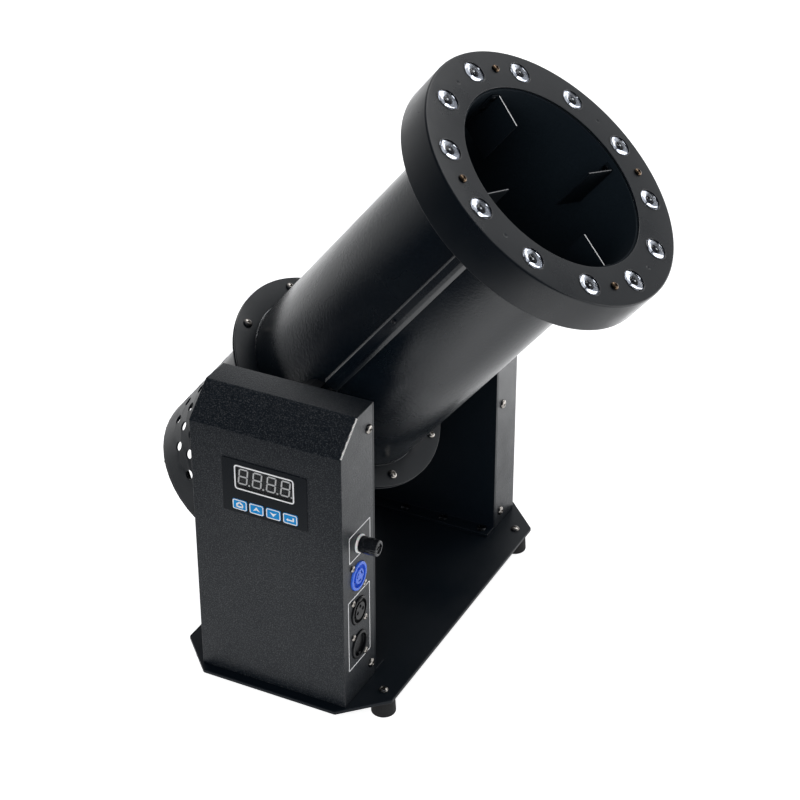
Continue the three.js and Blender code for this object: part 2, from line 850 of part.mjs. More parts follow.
// Supply and driver board on the near arm, in front of its outer face
const armOuter = nearFace - armThickness
const flangeInside = sideWall - seatGap - armThickness
const boardLeft = -flangeInside + boardInset
const driverX = [boardLeft, boardLeft + driverBoardWidth]
const driverZ = [deck + driverBoardAbove, deck + driverBoardAbove + driverBoardHeight]
const driverBack = armOuter - seatGap - driverBoardPost - seatGap
const driverFront = driverBack - controlBoardThickness
const driverPostPlaces = driverX.flatMap((x, i) => driverZ.map((z, j) => {
  return [x + (i ? -boardPostInset : boardPostInset), z + (j ? -boardPostInset : boardPostInset)]
}))

// The board carries its relays, capacitors, terminals and pressed-in posts
function driverBoard() {
  const board = block(...driverX, driverFront, driverBack, ...driverZ)
  const seat = (driverFront + driverBack) / 2
  const [x0, x1] = driverX
  const [z0, z1] = driverZ
  const inset = 2 * boardPostInset
  const relayX = x0 + inset
  const relayEnd = relayX + relaySize.width
  const relay = (z) => block(relayX, relayEnd, seat - relaySize.depth, seat, z, z + relaySize.height)
  const relays = [relay(z0 + inset), relay(z0 + inset + relaySize.height + capacitorRadius)]
  const can = () => toward['-Y'](rod(capacitorRadius, 0, capacitorLength, boltSides))
  const canZ = (z0 + z1) / 2
  const cans = [canZ - 1.5 * capacitorRadius, canZ + 1.5 * capacitorRadius].map((z) => {
    return can().translate(relayEnd + 2 * capacitorRadius, seat, z)
  })
  const { width, height, depth } = terminalSize
  const terminal = block(x1 - inset - width, x1 - inset, seat - depth, seat, z1 - height - inset, z1 - inset)
  const post = () => toward['+Y'](rod(boardPostRadius, seat, armOuter - seatGap, hexSides))
  const posts = spread(driverPostPlaces.map(([x, z]) => [x, 0, z]), post)
  return join(board, ...relays, ...cans, terminal, ...posts)
}

function powerSupply() {
  const z = deck + supplyAbove
  const y = armOuter - seatGap
  return block(boardLeft, boardLeft + supplyWidth, y - supplyDepth, y, z, z + supplyHeight)
}

add(machine, 'driver_board', driverBoard(), boardGreen)
add(machine, 'power_supply', powerSupply(), aluminium)

// Tilt pivots. The washers stay with the arms, and the bosses, sleeve, nut and bolt turn with the barrel
function frictionWasher(bore, y) {
  const inner = (bore + turnedGap) / Math.cos(Math.PI / bossSides)
  const washer = hoop(inner, washerRadius, 0, washerThickness, bossSides)
  return toward['+Y'](washer).translate(0, y, deck + pivotHeight)
}

// Distances from the barrel's axis along the tilt axis
const bossEnd = armReach - seatGap - washerThickness - turnedGap
const nutSeat = armReach + armThickness + seatGap + washerThickness + turnedGap
const sleeveFoot = tubeRadius + sleeveStart
const tubeTool = () => rod(tubeRadius + turnedGap, -2 * pivotBossRadius, 2 * pivotBossRadius, tubeSides)

function nearBoss() {
  const body = toward['-Y'](rod(pivotBossRadius, tubeInner, bossEnd, bossSides))
  const boreEnd = sleeveFoot + overrun
  const bore = toward['-Y'](drill(sleeveBore + turnedGap, tubeInner - overrun, boreEnd, bossSides))
  const seatFoot = sleeveFoot - turnedGap
  const seat = toward['-Y'](drill(sleeveRadius + turnedGap, seatFoot, bossEnd + overrun, bossSides))
  const half = sleeveBore
  const slotEnd = pivotBossRadius + overrun
  const slot = block(-half, half, -sleeveFoot + turnedGap, 0, 0, slotEnd)
  return cut(body, tubeTool(), bore, seat, slot)
}

function farBoss() {
  const body = toward['+Y'](rod(pivotBossRadius, tubeInner, bossEnd, bossSides))
  const boreEnd = bossEnd + overrun
  const bore = toward['+Y'](drill(farBoltRadius + turnedGap, tubeInner - overrun, boreEnd, bossSides))
  return cut(body, tubeTool(), bore)
}

function nearSleeve() {
  const end = nutSeat + ringNutThickness + sleeveTail
  return toward['-Y'](hoop(sleeveBore, sleeveRadius, sleeveFoot, end, bossSides))
}

function nearNut() {
  const nut = hexNut(ringNutAcross, sleeveRadius + turnedGap, ringNutThickness)
  return toward['-Y'](nut.translate(0, 0, nutSeat))
}

function farBolt() {
  const head = rod(farBoltHeadAcross / Math.sqrt(3), nutSeat, nutSeat + farBoltHeadHeight, hexSides)
  const shank = rod(farBoltRadius, tubeRadius + turnedGap + sleeveTail, nutSeat + overrun / 2, bossSides)
  return toward['+Y'](join(shank, head))
}

const washerBack = seatGap + washerThickness
add(machine, 'near_inner_washer', frictionWasher(sleeveRadius, nearFace + seatGap), nylon)
add(machine, 'near_outer_washer', frictionWasher(sleeveRadius, armOuter - washerBack), nylon)
add(machine, 'far_inner_washer', frictionWasher(farBoltRadius, farFace - washerBack), nylon)
add(machine, 'far_outer_washer', frictionWasher(farBoltRadius, farFace + armThickness + seatGap), nylon)
add(barrel, 'near_pivot_boss', nearBoss(), powderCoat)
add(barrel, 'far_pivot_boss', farBoss(), powderCoat)
add(barrel, 'near_pivot_sleeve', nearSleeve(), zinc)
add(barrel, 'near_pivot_nut', nearNut(), zinc)
add(barrel, 'far_pivot_bolt', farBolt(), zinc)

// Launch tube with the rivet holes of the fins and the screw holes of the channel
const finFrontEnd = ringInside - finSetback
const finBackEnd = finFrontEnd - finLength
const finRivetZs = [finFrontEnd - rivetInset / 2, finFrontEnd - 2 * rivetInset]
const finFootRadius = Math.sqrt((tubeInner - turnedGap) ** 2 - finFoot ** 2)
const finRivetOffset = (finSheet + finFoot) / 2
const channelBack = pivotBossRadius + channelEndGap
const channelFront = ringBack - turnedGap
const channelScrewZs = channelScrewShares.map((share) => channelBack + share * (channelFront - channelBack))
const channelScrewX = channelX + (channelSteepRun - channelSlopeRun) / 2

// A rivet's place: its fin's own frame has the fin along X, with the foot beside it
function onFoot(make) {
  return finRivetZs.map((z) => toward['+X'](make()).translate(finFootRadius - finSheet, finRivetOffset, z))
}

function launchTube() {
  const wall = hoop(tubeInner, tubeRadius, flangeBack, tubeFront, tubeSides)
  const bore = () => drill(rivetShank + turnedGap, 0, tubeRadius - finFootRadius + 2 * overrun)
  const rivetHoles = finTurns.map((turn) => group(onFoot(bore)).rotateZ(turn))
  const channelSeat = tubeRadius + channelHeight + 2 * turnedGap
  const channelScrew = () => toward['-Y'](screw(smallScrew, channelScrewLength))
  const channelScrews = spread(channelScrewZs.map((z) => [channelScrewX, -channelSeat, z]), channelScrew)
  return join(cut(wall, ...rivetHoles), ...channelScrews)
}

// A bent sheet fin with its two rivets
function fin() {
  const blade = block(tubeInner - turnedGap - finReach, finFootRadius, 0, finSheet, finBackEnd, finFrontEnd)
  const foot = block(finFootRadius - finSheet, finFootRadius, 0, finFoot, finBackEnd, finFrontEnd)
  const grip = tubeRadius - finFootRadius + finSheet + turnedGap
  return join(blade, foot, ...onFoot(() => rivet(grip)))
}

// Flanges, with the drum and its vents behind them
const flangeScrewCircle = flangeRadius - flangeScrewInset
const flangeTurn = Math.PI / flangeScrewCount

function flangeHoles(z0, z1) {
  const hole = () => drill(screwBore, z0 - overrun, z1 + overrun).translate(flangeScrewCircle, 0, 0)
  return group(around(flangeScrewCount, flangeTurn, hole))
}

function tubeFlange() {
  const flangeBore = (tubeRadius + turnedGap) / Math.cos(Math.PI / webSides)
  const disc = hoop(flangeBore, flangeRadius, flangeBack, flangeFront, webSides)
  return cut(disc, flangeHoles(flangeBack, flangeFront))
}

const bracketFront = housingFlangeBack - hubSetback - hubLength - hubToBracket
const bracketBack = bracketFront - bracketThickness
const bracketTurn = ventTurn + 4 * (fullTurn / drumSides)
const bracketFootRadius = drumInner * drumFacetShare - turnedGap
const bracketScrewZ = bracketFront + bracketFoot / 2
const guardScrewCircle = drumRadius - drumLip / 2

function drumShell() {
  const facetTurn = ventTurn + Math.PI / drumSides
  const profile = [
    [drumInner, housingFront],
    [flangeRadius, housingFront],
    [flangeRadius, housingFlangeBack],
    [drumRadius, housingFlangeBack],
    [drumRadius, drumBack],
    [drumRadius - drumLip, drumBack],
    [drumRadius - drumLip, drumBack + drumWall],
    [drumInner, drumBack + drumWall],
    [drumInner, housingFront],
  ]
  return turned(profile, drumSides, facetTurn)
}

function vent(z) {
  const hole = rod(ventRadius, drumInner - overrun, drumRadius + overrun, ventSides)
  return toward['+X'](hole).translate(0, 0, z)
}

function fanDrum() {
  const rows = Array.from({ length: ventRows }, (_, row) => {
    const first = ventTurn + (row % 2) * (Math.PI / ventsPerRow)
    return group(around(ventsPerRow, first, () => vent(drumBack + ventInset + row * ventRowPitch)))
  })
  const drillRadius = smallScrew.shank + turnedGap
  const bracketHole = () => toward['+X'](drill(drillRadius, drumInner - overrun, drumRadius + overrun))
  const bracketHoles = around(bracketArms, bracketTurn, () => bracketHole().translate(0, 0, bracketScrewZ))
  const shell = cut(drumShell(), group(rows), group(bracketHoles))
  return join(shell, ...flangeScrews(), ...guardScrews())
}

// The flange screws come through the tube's flange and are fast in the threads of the drum's
function flangeScrews() {
  const seat = flangeFront + turnedGap
  const one = () => screw(bigScrew, flangeScrewLength).translate(flangeScrewCircle, 0, seat)
  return around(flangeScrewCount, flangeTurn, one)
}

function guardScrews() {
  const seat = drumBack - 2 * turnedGap - guardThickness
  const one = () => toward['-Z'](screw(smallScrew, guardScrewLength)).translate(guardScrewCircle, 0, seat)
  return around(bracketArms, bracketTurn, one)
}

add(barrel, 'launch_tube', launchTube(), satinPaint)
add(barrel, 'tube_flange', tubeFlange(), powderCoat)
add(barrel, 'fan_drum', fanDrum(), powderCoat)
finTurns.forEach((turn, i) => add(barrel, `fin_${i + 1}`, fin().rotateZ(turn), powderCoat))

// Lamp ring: cover, back plate with its posts, board with emitters, lenses and screws
const lampBoardFront = ringInside - lampBoardSetback
const lampBoardBack = lampBoardFront - lampBoardThickness
const ringPlateBack = ringBack + ringBackInset
const ringPlateFront = ringPlateBack + ringSheet
const ringScrewTurn = lampTurn + (fullTurn / lampCount) * 1.5
const lensHole = lensRadius + turnedGap
const lampCableX = channelScrewX + smallScrew.shank + lampCableGap + lampCableRadius
const lampCableY = -(tubeRadius + turnedGap + lampCableRadius)

function ringCover() {
  const outer = ringRadius - ringSheet
  const profile = [
    [muzzleRadius, ringInside],
    [muzzleRadius, muzzleReach],
    [ringRadius, muzzleReach],
    [ringRadius, ringBack],
    [outer, ringBack],
    [outer, ringInside],
    [muzzleRadius, ringInside],
  ]
  const [low, high] = [ringInside - overrun, muzzleReach + overrun]
  const lampHole = () => drill(lensHole, low, high, lensSides).translate(lampCircle, 0, 0)
  const screwHole = () => drill(screwBore, low, high).translate(lampCircle, 0, 0)
  const lampHoles = around(lampCount, lampTurn, lampHole)
  const screwHoles = around(ringScrewCount, ringScrewTurn, screwHole)
  return cut(turned(profile, ringSides), group(lampHoles), group(screwHoles))
}

function ringBackPlate() {
  const rim = ringRadius - ringSheet - turnedGap
  const plate = hoop(tubeRadius + turnedGap, rim, ringPlateBack, ringPlateFront, ringSides)
  const top = lampBoardBack - turnedGap
  const foot = ringPlateFront - ringSheet / 2
  const post = () => rod(ringPostRadius, foot, top, boltSides).translate(lampCircle, 0, 0)
  const bore = () => drill(screwBore, ringPlateFront + ringSheet, top + overrun).translate(lampCircle, 0, 0)
  const cableBore = lampCableRadius + cableHoleClearance
  const cableHole = drill(cableBore, ringPlateBack - overrun, ringPlateFront + overrun)
  const posts = around(ringScrewCount, ringScrewTurn, post)
  const bores = around(ringScrewCount, ringScrewTurn, bore)
  return cut(join(plate, ...posts), group(bores), cableHole.translate(lampCableX, lampCableY, 0))
}

function lampBoard() {
  const board = hoop(lampBoardInner, lampBoardOuter, lampBoardBack, lampBoardFront, webSides)
  const [low, high] = [lampBoardBack - overrun, lampBoardFront + overrun]
  const hole = () => drill(screwBore, low, high).translate(lampCircle, 0, 0)
  const half = emitterSize / 2
  const chipTop = lampBoardFront + emitterHeight
  const chipFoot = lampBoardBack + seatGap
  const chip = () => block(lampCircle - half, lampCircle + half, -half, half, chipFoot, chipTop)
  const drilled = cut(board, group(around(ringScrewCount, ringScrewTurn, hole)))
  return join(drilled, group(around(lampCount, lampTurn, chip)))
}

// The twelve lenses are one clear moulding, with a web that joins them behind the ring's front
function lensPlate() {
  const base = lampBoardFront + emitterHeight + turnedGap
  const webTop = ringInside - turnedGap
  const webBase = webTop - lensWebThickness
  const face = muzzleReach
  const profile = [
    [0, base],
    [lensBaseRadius, base],
    [lensRadius, webBase],
    [lensRadius, face],
    [0, face + lensDome],
  ]
  const lens = () => turned(profile, lensSides).translate(lampCircle, 0, 0)
  const reach = lensRadius + lensWebRim
  const web = hoop(lampCircle - reach, lampCircle + reach, webBase, webTop, webSides)
  const hole = () => drill(screwBore, webBase - overrun, webTop + overrun).translate(lampCircle, 0, 0)
  const drilled = cut(web, group(around(ringScrewCount, ringScrewTurn, hole)))
  return join(drilled, group(around(lampCount, lampTurn, lens)))
}

function ringScrew() {
  return screw(bigScrew, ringScrewLength).translate(lampCircle, 0, muzzleReach + turnedGap)
}

add(barrel, 'lamp_ring_cover', ringCover(), satinPaint)
add(barrel, 'lamp_ring_back', ringBackPlate(), powderCoat)
add(barrel, 'lamp_board', lampBoard(), nylon)
add(barrel, 'lens_plate', lensPlate(), clearLens)
around(ringScrewCount, ringScrewTurn, ringScrew).forEach((shape, i) => {
  add(barrel, `ring_screw_${i + 1}`, shape, brass)
})

// Cable channel on the near side of the tube, and the lamp cable from the ring through the hollow near pivot
function cableChannel() {
  const outer = channelWidth / 2
  const top = tubeRadius + channelHeight + turnedGap
  const bend = channelBendShare * channelSlopeDrop
  const inner = outer - channelSheet
  const foot = (x) => Math.sqrt((tubeRadius + turnedGap) ** 2 - (channelX + x) ** 2) + turnedGap / 2
  const arch = (half, crown) => [
    [half, foot(half)],
    [half, crown - channelSlopeDrop],
    [half - channelSlopeRun / 2, crown - bend],
    [half - channelSlopeRun, crown],
    [channelSteepRun - half, crown],
    [-half, crown - channelSteepDrop],
    [-half, foot(-half)],
  ]
  const points = [...arch(outer, top), ...arch(inner, top - channelSheet).reverse()]
  const section = points.map(([x, y]) => [channelX + x, -y])
  const strip = prism(section, channelBack, channelFront)
  const screwHole = () => toward['-Y'](drill(smallScrew.shank + turnedGap, tubeRadius, top + overrun))
  return cut(strip, ...spread(channelScrewZs.map((z) => [channelScrewX, 0, z]), screwHole))
}

// Route points: across, out from the barrel's axis, along it. The cable turns into the sleeve over the boss
function lampCable() {
  const insideRing = ringPlateFront + 2 * overrun
  const out = -lampCableY
  const straight = [insideRing, channelFront, (channelFront + channelBack) / 2, channelBack + overrun]
  const route = [
    ...straight.map((z) => [lampCableX, out, z]),
    [lampCableX * 0.75, out + 0.1, pivotBossRadius],
    [lampCableX * 0.3, out + 0.7, pivotBossRadius * 0.55],
    [0, out + 3.2, pivotBossRadius * 0.2],
    [0, sleeveFoot + overrun, 0],
    [0, nutSeat + ringNutThickness, 0],
    [0, nutSeat + ringNutThickness + sleeveTail + lampCablePlug, 0],
  ]
  const points = route.map(([x, y, z]) => new THREE.Vector3(x, -y, z))
  const curve = new THREE.CatmullRomCurve3(points, false, 'centripetal')
  const circle = Array.from({ length: lampCableSides }, (_, i) => {
    const angle = (i * fullTurn) / lampCableSides
    return [lampCableRadius * Math.cos(angle), lampCableRadius * Math.sin(angle)]
  })
  const settings = { steps: lampCableSteps, bevelEnabled: false, extrudePath: curve }
  const tube = tidy(new THREE.ExtrudeGeometry(outlineShape(circle), settings))
  const half = lampCablePlug / 2
  const end = nutSeat + ringNutThickness + sleeveTail + lampCablePlug
  const plug = block(-half, half, -end - lampCablePlug, -end + overrun / 2, -half, half)
  return join(tube, plug)
}

add(barrel, 'cable_channel', cableChannel(), satinPaint)
add(barrel, 'lamp_cable', lampCable(), blackPlastic)

// Confetti screen between the flanges
function confettiScreen() {
  const disc = rod(tubeRadius + screenClamp, screenBack, screenFront, webSides)
  const hole = () => rod(screenHoleRadius, screenBack - overrun, screenFront + overrun, hexSides)
  const rings = Array.from({ length: screenRings }, (_, i) => {
    const radius = (i + 1) * screenRingPitch
    return around((i + 1) * hexSides, 0, () => hole().translate(radius, 0, 0))
  })
  return cut(disc, group(hole(), rings.flat()))
}

// Motor on its bracket, with the shaft and the fan
const motorFront = bracketBack - turnedGap
const motorBack = motorFront - motorLength
const hubBack = bracketFront + hubToBracket
const hubFront = hubBack + hubLength

function motorBracket() {
  const plate = rod(bracketHubRadius, bracketBack, bracketFront, bossSides)
  const half = bracketArmWidth / 2
  const arms = around(bracketArms, bracketTurn, () => {
    const spoke = block(bracketHubRadius / 2, bracketFootRadius, -half, half, bracketBack, bracketFront)
    const footInner = bracketFootRadius - bracketThickness
    const foot = block(footInner, bracketFootRadius, -half, half, bracketBack, bracketFront + bracketFoot)
    const seat = drumRadius * drumFacetShare + turnedGap
    const bracketScrew = toward['+X'](screw(smallScrew, guardScrewLength)).translate(seat, 0, bracketScrewZ)
    return join(spoke, foot, bracketScrew)
  })
  const window = rod(bracketHoleRadius, bracketBack - overrun, bracketFront + overrun, bossSides)
  return cut(join(plate, ...arms), window)
}

function fanMotor() {
  const neck = motorRadius - motorBellInset
  const bore = shaftRadius + turnedGap
  const boreEnd = motorFront - shaftInMotor - turnedGap
  const profile = [
    [0, motorBack],
    [neck, motorBack],
    [motorRadius, motorBack + motorBellDepth],
    [motorRadius, motorFront - motorBellDepth],
    [neck, motorFront],
    [bore, motorFront],
    [bore, boreEnd],
    [0, boreEnd],
  ]
  return turned(profile, bossSides)
}

function motorShaft() {
  return rod(shaftRadius, motorFront - shaftInMotor, hubFront + shaftTail, boltSides)
}

function fan() {
  const hub = rod(hubRadius, hubBack, hubFront, bossSides)
  const middle = (hubBack + hubFront) / 2
  const [chord, thick] = [bladeChord / 2, bladeThickness / 2]
  const root = hubRadius * bladeRootShare
  const blades = around(fanBlades, 0, () => {
    const flat = block(root, fanRadius + overrun, -chord, chord, -thick, thick)
    return flat.rotateX(bladePitch).translate(0, 0, middle)
  })
  const sweep = rod(fanRadius, hubBack, hubFront, tubeSides)
  const wheel = common(join(hub, ...blades), sweep)
  return cut(wheel, rod(shaftRadius + turnedGap, hubBack - overrun, hubFront + overrun, boltSides))
}

function fanNut() {
  const nut = hexNut(shaftNutAcross, shaftRadius + turnedGap, shaftNutThickness)
  return nut.translate(0, 0, hubFront + turnedGap)
}

// Rear guard: concentric slots crossed by spokes
function rearGuard() {
  const back = drumBack - turnedGap - guardThickness
  const front = drumBack - turnedGap
  const plate = rod(drumRadius - turnedGap, back, front, tubeSides)
  const [low, high] = [back - overrun, front + overrun]
  const slots = Array.from({ length: guardSlots }, (_, i) => {
    const outer = drumRadius - drumLip - i * (guardSlotWidth + guardBarWidth)
    return hoop(outer - guardSlotWidth, outer, low, high, slotSides)
  })
  const half = guardSpokeWidth / 2
  const spokes = around(guardSpokes, bracketTurn, () => block(0, drumRadius, -half, half, low, high))
  const hole = () => drill(smallScrew.shank + turnedGap, low, high).translate(guardScrewCircle, 0, 0)
  return cut(plate, cut(group(slots), ...spokes), group(around(bracketArms, bracketTurn, hole)))
}

add(barrel, 'confetti_screen', confettiScreen(), zinc)
add(barrel, 'motor_bracket', motorBracket(), zinc)
add(barrel, 'fan_motor', fanMotor(), aluminium)
add(barrel, 'motor_shaft', motorShaft(), zinc)
add(barrel, 'fan_impeller', fan(), fanGrey)
add(barrel, 'fan_nut', fanNut(), zinc)
add(barrel, 'rear_guard', rearGuard(), powderCoat)

// The origin goes under the middle of the overall box
const bounds = new THREE.Box3().setFromObject(machine, true)
machine.position.x = -(bounds.min.x + bounds.max.x) / 2

export default machine
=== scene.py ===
from math import atan2, cos, hypot, pi, radians, sin, tau

import bmesh
import bpy
from mathutils import Matrix, Vector


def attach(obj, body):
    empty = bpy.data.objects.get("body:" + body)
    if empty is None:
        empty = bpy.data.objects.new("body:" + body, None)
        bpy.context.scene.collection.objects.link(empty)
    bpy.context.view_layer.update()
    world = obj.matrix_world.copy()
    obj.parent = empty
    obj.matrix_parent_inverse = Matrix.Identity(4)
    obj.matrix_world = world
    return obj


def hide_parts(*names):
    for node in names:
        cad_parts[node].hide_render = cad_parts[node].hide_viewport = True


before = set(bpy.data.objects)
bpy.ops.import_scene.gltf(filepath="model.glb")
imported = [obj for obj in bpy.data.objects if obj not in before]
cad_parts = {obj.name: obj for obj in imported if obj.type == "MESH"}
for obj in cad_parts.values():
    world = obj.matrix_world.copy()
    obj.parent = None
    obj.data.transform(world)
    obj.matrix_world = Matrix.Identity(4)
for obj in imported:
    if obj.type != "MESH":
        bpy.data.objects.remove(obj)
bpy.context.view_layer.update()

SCENE = bpy.context.scene
BEVEL_ANGLE = 32

# Millimetres to the model's frame: the stand, and the barrel about its tilt pivot with its axis along local z
MM = Matrix.Diagonal((0.001, 0.001, 0.001, 1))
SHIFT = -30.501878764
PIVOT_Y, PIVOT_Z = 4.7, 235.2769
LEAN = radians(39.4)
STAND = MM @ Matrix.Translation((SHIFT, 0, 0))
BARREL = MM @ Matrix.Translation((SHIFT, PIVOT_Y, PIVOT_Z)) @ Matrix.Rotation(LEAN, 4, "Y")
TO_X = Matrix.Rotation(pi / 2, 4, "Y")
TO_LEFT = Matrix.Rotation(-pi / 2, 4, "Y")
TO_NEAR = Matrix.Rotation(pi / 2, 4, "X")
TO_FAR = Matrix.Rotation(-pi / 2, 4, "X")
DOWN = Matrix.Rotation(pi, 4, "X")


def spin(angle):
    return Matrix.Rotation(angle, 4, "Z")


def shift(x=0.0, y=0.0, z=0.0):
    return Matrix.Translation((x, y, z))


def place_camera():
    """The one camera that was fitted to the photograph, from its azimuth, elevation and roll"""
    az, el, roll = radians(26.8957), radians(30.7751), radians(-0.0915)
    back = Vector((sin(az) * cos(el), -cos(az) * cos(el), sin(el)))
    right = Vector((cos(az), sin(az), 0))
    up = back.cross(right)
    across = cos(roll) * right + sin(roll) * up
    above = cos(roll) * up - sin(roll) * right
    data = bpy.data.cameras.new("camera")
    data.sensor_width = 36
    data.lens = 97.2755
    data.clip_end = 50
    camera = bpy.data.objects.new("camera", data)
    turn = Matrix((across, above, back)).transposed().to_4x4()
    camera.matrix_world = shift(0.665304, -1.309288, 1.078516) @ turn
    SCENE.collection.objects.link(camera)
    SCENE.camera = camera


place_camera()

# Shapes: lists of corners in millimetres and of faces


def merged(*shapes):
    corners, faces = [], []
    for shape in shapes:
        faces += [[i + len(corners) for i in face] for face in shape[1]]
        corners += shape[0]
    return corners, faces


def moved(shape, *turns):
    matrix = Matrix.Identity(4)
    for turn in turns:
        matrix = matrix @ turn
    return [tuple(matrix @ Vector(corner)) for corner in shape[0]], shape[1]


def prism(outline, low, high):
    """An outline in x and y, pulled up from low to high"""
    n = len(outline)
    corners = [(x, y, z) for z in (low, high) for x, y in outline]
    sides = [[i, (i + 1) % n, (i + 1) % n + n, i + n] for i in range(n)]
    return corners, [list(range(n))[::-1], list(range(n, 2 * n))] + sides


def side_prism(outline, low, high):
    """An outline in y and z, pulled along x"""
    corners, faces = prism(outline, low, high)
    return [(z, x, y) for x, y, z in corners], faces


def block(x0, x1, y0, y1, z0, z1):
    return prism([(x0, y0), (x1, y0), (x1, y1), (x0, y1)], z0, z1)


def turned(profile, sides=96, ring=False):
    """A profile of radius and height turned about z; a ring closes on its own first point"""
    corners, rows = [], []
    for radius, height in profile:
        count = sides if radius > 1e-6 else 1
        rows.append([len(corners) + i for i in range(count)])
        corners += [(radius * cos(tau * i / sides), radius * sin(tau * i / sides), height) for i in range(count)]
    faces = []
    for low, high in list(zip(rows, rows[1:])) + ([(rows[-1], rows[0])] if ring else []):
        for i in range(sides):
            j = (i + 1) % sides
            quad = [low[i % len(low)], low[j % len(low)], high[j % len(high)], high[i % len(high)]]
            faces.append(list(dict.fromkeys(quad)))
    return corners, faces


def rounded(points, radius, steps=4, ring=True):
    """An outline with its corners rounded; radius is one number, or one for each corner"""
    made = []
    for i, point in enumerate(points):
        here = Vector(point)
        r = radius[i] if isinstance(radius, (list, tuple)) else radius
        if not r or (not ring and i in (0, len(points) - 1)):
            made.append(tuple(here))
            continue
        before, after = Vector(points[i - 1]) - here, Vector(points[(i + 1) % len(points)]) - here
        bend = before.angle(after)
        reach = min(r / max(0.05, sin(bend / 2) / cos(bend / 2)), 0.48 * before.length, 0.48 * after.length)
        start, end = here + before.normalized() * reach, here + after.normalized() * reach
        for k in range(steps + 1):
            t = k / steps
            made.append(tuple(start * (1 - t) ** 2 + here * 2 * t * (1 - t) + end * t * t))
    return made


def rectangle(width, height, radius=0.0, steps=4):
    w, h = width / 2, height / 2
    return rounded([(-w, -h), (w, -h), (w, h), (-w, h)], radius, steps)


def ribbon(points, width, low, high, ring=False):
    """A flat strip along a line of points, with mitred corners"""
    n = len(points)
    left, right = [], []
    for i, point in enumerate(points):
        here = Vector(point)
        before = Vector(points[i - 1]) if ring or i else None
        after = Vector(points[(i + 1) % n]) if ring or i < n - 1 else None
        ways = [w.normalized() for w in ((here - before) if before else None, (after - here) if after else None) if w]
        way = sum(ways, Vector((0, 0))).normalized()
        normal = Vector((-way.y, way.x))
        spread = width / 2 / max(0.4, normal.dot(Vector((-ways[0].y, ways[0].x))))
        left.append(tuple(here + normal * spread))
        right.append(tuple(here - normal * spread))
    corners = [(x, y, z) for z in (low, high) for x, y in left + right]
    faces = []
    for i in range(n if ring else n - 1):
        j = (i + 1) % n
        faces += [[i, j, n + j, n + i][::-1], [2 * n + i, 2 * n + j, 3 * n + j, 3 * n + i],
                  [i, j, 2 * n + j, 2 * n + i], [n + j, n + i, 3 * n + i, 3 * n + j]]
    if not ring:
        faces += [[0, n, 3 * n, 2 * n], [n - 1, 3 * n - 1, 4 * n - 1, 2 * n - 1]]
    return corners, faces


def mesh_of(name, shape, space=None):
    """A mesh with its normals outward, in metres where a space is given"""
    mesh = bpy.data.meshes.new(name)
    corners = [space @ Vector(corner) for corner in shape[0]] if space else shape[0]
    mesh.from_pydata(corners, [], shape[1])
    bm = bmesh.new()
    bm.from_mesh(mesh)
    bmesh.ops.recalc_face_normals(bm, faces=bm.faces)
    bm.to_mesh(mesh)
    bm.free()
    return mesh


def carve(base, tools):
    """One shape less some others"""
    stock = bpy.data.objects.new("stock", mesh_of("stock", base))
    SCENE.collection.objects.link(stock)
    spare = [stock]
    for tool in tools:
        cutter = bpy.data.objects.new("cutter", mesh_of("cutter", tool))
        SCENE.collection.objects.link(cutter)
        spare.append(cutter)
        change = stock.modifiers.new("cut", "BOOLEAN")
        change.operation = "DIFFERENCE"
        change.solver = "EXACT"
        change.object = cutter
    bpy.context.view_layer.update()
    result = stock.evaluated_get(bpy.context.evaluated_depsgraph_get()).to_mesh()
    made = [tuple(v.co) for v in result.vertices], [list(p.vertices) for p in result.polygons]
    for obj in spare:
        mesh = obj.data
        bpy.data.objects.remove(obj)
        bpy.data.meshes.remove(mesh)
    return made


def piece(name, shape, material, body, space=STAND, stands_for=(), bevel=0.0, segments=2, smooth=32):
    """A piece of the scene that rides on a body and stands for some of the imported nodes"""
    mesh = mesh_of(name, shape, space)
    mesh.shade_smooth()
    mesh.set_sharp_from_angle(angle=radians(smooth))
    mesh.materials.append(material)
    obj = bpy.data.objects.new(name, mesh)
    SCENE.collection.objects.link(obj)
    if bevel:
        edge = obj.modifiers.new("edge", "BEVEL")
        edge.width = bevel * 0.001
        edge.segments = segments
        edge.limit_method = "ANGLE"
        edge.angle_limit = radians(BEVEL_ANGLE)
        edge.harden_normals = True
    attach(obj, body)
    if stands_for:
        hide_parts(*stands_for)
    return obj


# Materials


def node(tree, kind, sockets=None, **settings):
    """A shader node, with each socket linked where its value is a socket and set where it is a constant"""
    made = tree.nodes.new("ShaderNode" + kind)
    for key, value in settings.items():
        setattr(made, key, value)
    for key, value in (sockets or {}).items():
        if isinstance(value, bpy.types.NodeSocket):
            tree.links.new(value, made.inputs[key])
        else:
            made.inputs[key].default_value = value
    return made


def mix(tree, factor, a, b):
    made = node(tree, "Mix", data_type="RGBA")
    for socket, value in zip((made.inputs[0], made.inputs[6], made.inputs[7]), (factor, a, b)):
        if isinstance(value, bpy.types.NodeSocket):
            tree.links.new(value, socket)
        else:
            socket.default_value = value
    return made.outputs[2]


def level(tree, value, low, high, start=0.35, end=0.65):
    """From low to high while the value goes from start to end"""
    return node(tree, "MapRange", {0: value, 1: start, 2: end, 3: low, 4: high}).outputs[0]


def rgba(red, green, blue):
    return (red, green, blue, 1.0)


